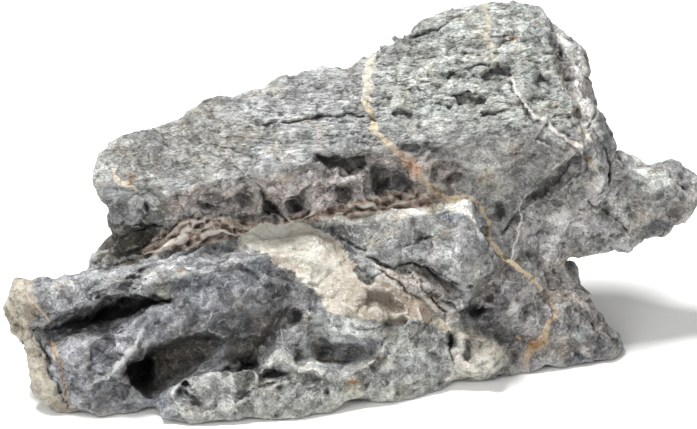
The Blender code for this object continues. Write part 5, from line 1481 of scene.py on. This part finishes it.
hair_width = paint("smooth_step", speckle, 0.3, 0.7, 0.002, 0.008)
hairs = paint("multiply", paint("less_than", net, hair_width),
              paint("smooth_step", paint("noise", mm_place, 1.0 / 24.0, 2.0, 0.6), 0.5, 0.6))
grey = paint("mix", paint("multiply", paint("multiply", hairs, pale_ground), 0.35), grey, linear("dcdcd6"))
print("flecks and hairlines laid:", len(tree.nodes), "nodes")

# %% Stains and crust
# Iron has stained the gap between the slabs.
recess_edge = paint("add", stains["X"], paint("multiply_add", mottle, 0.8, -0.4))
recess_share = paint("smooth_step", recess_edge, 0.35, 0.75)
recess_tone = paint("mix", paint("smooth_step", mottle, 0.4, 0.58), linear("8c766a"), linear("c4b0a0"))
recess_tone = paint("mix", paint("smooth_step", wisps, 0.5, 0.64), recess_tone, linear("ded2c4"))
# Painted highlight on the gap's crests and painted shade in its hollows.
recess_crest_highlight = paint("smooth_step", relief["X"], 0.06, 0.38, 0.0, 0.85)
recess_tone = paint("mix", recess_crest_highlight, recess_tone, linear("eee2d4"))
recess_hollow_shade = paint("smooth_step", relief["X"], -0.12, -0.6, 0.0, 0.8)
recess_tone = paint("mix", recess_hollow_shade, recess_tone, linear("4d3e34"))
stone_colour = paint("mix", recess_share, grey, recess_tone)

# The beige crust on the left end.
crust_tone = paint("mix", paint("smooth_step", mottle, 0.35, 0.68), linear("8f8575"), linear("d4cdbd"))
crust_share = paint("smooth_step", paint("multiply_add", speckle, 0.4, stains["Z"]), 0.55, 0.8)
stone_colour = paint("mix", crust_share, stone_colour, crust_tone)
print("stains and crust laid:", len(tree.nodes), "nodes")

# %% Calcite patch and nodule
# Calcite is milky cream, and brownish where it is thin.
calcite_edge = paint("add", stains["Y"], paint("multiply_add", mottle, 0.9, -0.45))
calcite_edge = paint("multiply_add", paint("subtract", wisps, 0.5), 1.3, calcite_edge)
calcite_share = paint("smooth_step", calcite_edge, 0.3, 0.5)
fibres = paint("noise", paint("vector_multiply", mm_place, (1.0, 0.22, 0.5)), 1.0 / 1.6, 4.0, 0.7,
               Distortion=0.5)
calcite_tone = paint("smooth_step", broad_mottle, 0.4, 0.56)
calcite_tone = paint("mix", calcite_tone, linear("c6bcae"), linear("dcd7ca"))
calcite_tone = paint("mix", paint("smooth_step", mottle, 0.44, 0.6), calcite_tone, linear("efebde"))
calcite_tone = paint("mix", paint("smooth_step", fibres, 0.46, 0.3, 0.0, 0.7), calcite_tone,
                     linear("b5a995"))
calcite_tone = paint("mix", paint("smooth_step", fibres, 0.52, 0.66, 0.0, 0.6), calcite_tone,
                     linear("f4f0e6"))
spot = parts_of("face_mm")
calcite_tone = paint("mix", paint("smooth_step", spot["X"], 156.0, 184.0, 0.0, 0.8), calcite_tone,
                     paint("tint", 1.0, calcite_tone, linear("c2b6aa")))
calcite_tone = paint("mix", paint("smooth_step", wisps, 0.47, 0.32, 0.0, 0.45), calcite_tone,
                     linear("857b6e"))
# Painted light: the calcite's top edge is paler, and its crests get a painted highlight.
calcite_tone = paint("mix", paint("smooth_step", spot["Y"], 94.0, 98.0, 0.0, 0.55), calcite_tone,
                     linear("f8f7ea"))
calcite_tone = paint("mix", paint("smooth_step", relief["X"], 0.1, 0.42, 0.0, 0.6), calcite_tone,
                     linear("f2ecdf"))
calcite_tone = paint("mix", paint("smooth_step", broad_mottle, 0.5, 0.42, 0.0, 0.25), calcite_tone,
                     linear("a48f7e"))
stone_colour = paint("mix", calcite_share, stone_colour, calcite_tone)

# The nodule's cream skin.
cream_skin = paint("multiply", marks["Z"], paint("smooth_step", mottle, 0.44, 0.6, 0.05, 0.8))
stone_colour = paint("mix", cream_skin, stone_colour, linear("efe9db"))
print("calcite laid:", len(tree.nodes), "nodes")

# %% Lay the veins
# Crystals make a vein's edges waver, swell and break off.
vein_waver = paint("noise", mm_place, 1.0 / 2.2, 5.0, 0.8)
vein_swell = paint("smooth_step", paint("noise", mm_place, 1.0 / 5.0, 3.0, 0.6), 0.3, 0.7, 0.6, 1.3)
vein_gaps = paint("smooth_step", paint("noise", mm_place, 1.0 / 3.0, 4.0, 0.7), 0.36, 0.48, 0.35, 1.0)


def vein(under, name, colour, edge, wander, strength=1.0):
    """Lays one vein over the colour under it: its edge wavers a little, and crystals vary its strength."""
    across = parts_of(name)
    centre = paint("multiply_add", vein_waver, wander * 2.0, paint("subtract", across["X"], wander))
    width = paint("multiply", across["Z"], vein_swell)
    beyond = paint("subtract", paint("absolute", centre), width)
    share = paint("multiply", paint("smooth_step", beyond, edge, -edge),
                  paint("power", vein_gaps, 1.0 / strength - 0.4))
    return paint("mix", share, under, colour)


MAIN_VEIN_LENGTH = 220.0
main_colours = paint("ShaderNodeValToRGB", paint("divide", parts_of("vein_main")["Y"], MAIN_VEIN_LENGTH))
main_ramp = main_colours.node.color_ramp
MAIN_VEIN_COLOURS = [(0.0, "ece7d8"), (0.14, "efe6d0"), (0.18, "d9bc82"), (0.22, "eadbb8"), (0.3, "dcb894"),
                     (0.35, "b5805c"), (0.39, "d9c2a2"), (0.47, "d6bd96"), (0.55, "cdb28a"), (0.68, "d6bd96"),
                     (0.84, "b89c78"), (0.92, "a98a62"), (1.0, "a8916f")]
while len(main_ramp.elements) < len(MAIN_VEIN_COLOURS):
    main_ramp.elements.new(0.5)
for element, (position, hex_colour) in zip(main_ramp.elements, MAIN_VEIN_COLOURS):
    element.position = position
    element.color = linear(hex_colour)
vein_tone = paint("mix", paint("smooth_step", speckle, 0.35, 0.7, 0.0, 0.45), main_colours,
                  linear("f4efe2"))
white_tone = paint("mix", paint("smooth_step", mottle, 0.36, 0.5), linear("d8c8bd"), linear("f6f2ea"))
# name, colour, softness of the edge mm, wander mm, strength
for vein_look in [("vein_main", vein_tone, 0.5, 1.1),
                  ("vein_white", white_tone, 0.22, 0.35, 1.6),
                  ("vein_edge", linear("d9cfbd"), 0.4, 0.6, 0.7),
                  ("vein_faint", linear("d9d3bf"), 1.2, 1.2, 0.5),
                  ("vein_thin", linear("e4e2dc"), 0.3, 0.5, 0.85),
                  ("hairline", linear("dedcd6"), 0.15, 0.15, 0.9),
                  ("cream_streak", linear("e9ddc8"), 0.5, 0.5),
                  ("tan_line", linear("c9b59c"), 0.3, 0.4, 0.9),
                  ("tan_seam", linear("bf9f78"), 0.3, 0.6, 0.85),
                  ("pale_line", linear("c6c7c6"), 0.6, 0.5, 0.7)]:
    stone_colour = vein(stone_colour, *vein_look)
print("veins laid:", len(tree.nodes), "nodes")

# %% Rust, bleached crests with a painted highlight, and painted shade
rust = paint("smooth_step", paint("multiply_add", speckle, 0.9, marks["Y"]), 0.72, 1.1)
rust_tone = paint("mix", paint("smooth_step", speckle, 0.35, 0.65), linear("7d4a26"), linear("b98f58"))
stone_colour = paint("mix", paint("multiply", rust, 0.8), stone_colour, rust_tone)

# Crests are bleached and also get a painted highlight; hollows, cracks and sheltered places get painted shade.
crest_bruise_and_highlight = paint("maximum", paint("smooth_step", relief["X"], 0.1, 0.45, 0.0, 0.5),
              paint("smooth_step", relief["Y"], 0.7, 2.2, 0.0, 0.3))
crest_strength = paint("attribute", attribute_name="pale_crests").node.outputs["Fac"]
crest_bruise_and_highlight = paint("multiply", crest_bruise_and_highlight, crest_strength)
crest_bruise_and_highlight = paint("multiply", crest_bruise_and_highlight, paint("smooth_step", speckle, 0.3, 0.5, 0.4, 1.0))
stone_colour = paint("mix", crest_bruise_and_highlight, stone_colour, linear("d4d5d1"))
# Painted shade: darker in fine and broad hollows, in sheltered places, in cracks and in the listed hollows.
low = paint("multiply", paint("smooth_step", relief["X"], -0.08, -0.45, 1.0, 0.58),
            paint("smooth_step", relief["Y"], -0.5, -2.4, 1.0, 0.66))
low = paint("multiply", low, paint("smooth_step", relief["Z"], 0.2, 0.75, 1.0, 0.55))
crack_shadow = paint("attribute", attribute_name="cracked").node.outputs["Fac"]
low = paint("multiply", low, paint("smooth_step", crack_shadow, 0.35, 0.9, 1.0, 0.4))
low = paint("maximum", low, paint("multiply", calcite_share, 0.9))
hollow_shade_share = paint("attribute", attribute_name="hollow_shade").node.outputs["Fac"]
low = paint("multiply", low, paint("subtract", 1.0, hollow_shade_share))
stone_colour = paint("tint", 1.0, stone_colour, paint("from_xyz", low, low, low))
shader = tree.nodes["Principled BSDF"]
tree.links.new(stone_colour, shader.inputs["Base Color"])
print("colour laid:", len(tree.nodes), "nodes")

# %% Gloss and fine relief
polish = paint("smooth_step", mottle, 0.3, 0.7, 0.92, 0.7)
polish = paint("multiply_add", calcite_share, -0.15, polish)
tree.links.new(polish, shader.inputs["Roughness"])
shader.inputs["IOR"].default_value = 1.55
shader.inputs["Specular IOR Level"].default_value = 0.35


def flake_height(size, stretch):
    """Flakes too small for the mesh: the height of a tilted plane in each cell of the pattern, in mm."""
    at = paint("vector_multiply", mm_place, stretch)
    cells = paint("cells", at, 1.0 / size).node.outputs
    tilt = paint("vector_subtract", cells["Color"], (0.5, 0.5, 0.5))
    reach = paint("vector_subtract", at, cells["Position"])
    return paint("vector_dot_product", tilt, reach).node.outputs["Value"]


grit = paint("noise", mm_place, 1.0 / 0.9, 3.0, 0.7)
grit = paint("multiply_add", flake_height(4.6, (0.6, 1.2, 1.0)), 0.45, grit)
grit = paint("multiply_add", flake_height(2.2, (0.6, 1.2, 1.0)), paint("multiply", marks["X"], 0.7), grit)
grit = paint("multiply_add", paint("multiply", streaks, marks["X"]), 1.4, grit)
grit = paint("multiply_add", paint("noise", mm_place, 1.0 / 2.4, 4.0, 0.65), 1.2, grit)
grit = paint("multiply_add", crack_and_pit_shade, -1.2, grit)
bumps = paint("ShaderNodeBump", Height=grit, Strength=1.0, Distance=1.8 * MM)
tree.links.new(bumps, shader.inputs["Normal"])
print("limestone:", len(tree.nodes), "nodes")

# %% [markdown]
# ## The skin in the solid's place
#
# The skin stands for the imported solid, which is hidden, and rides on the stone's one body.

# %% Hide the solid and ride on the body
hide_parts(NODE)
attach(stone, "root")
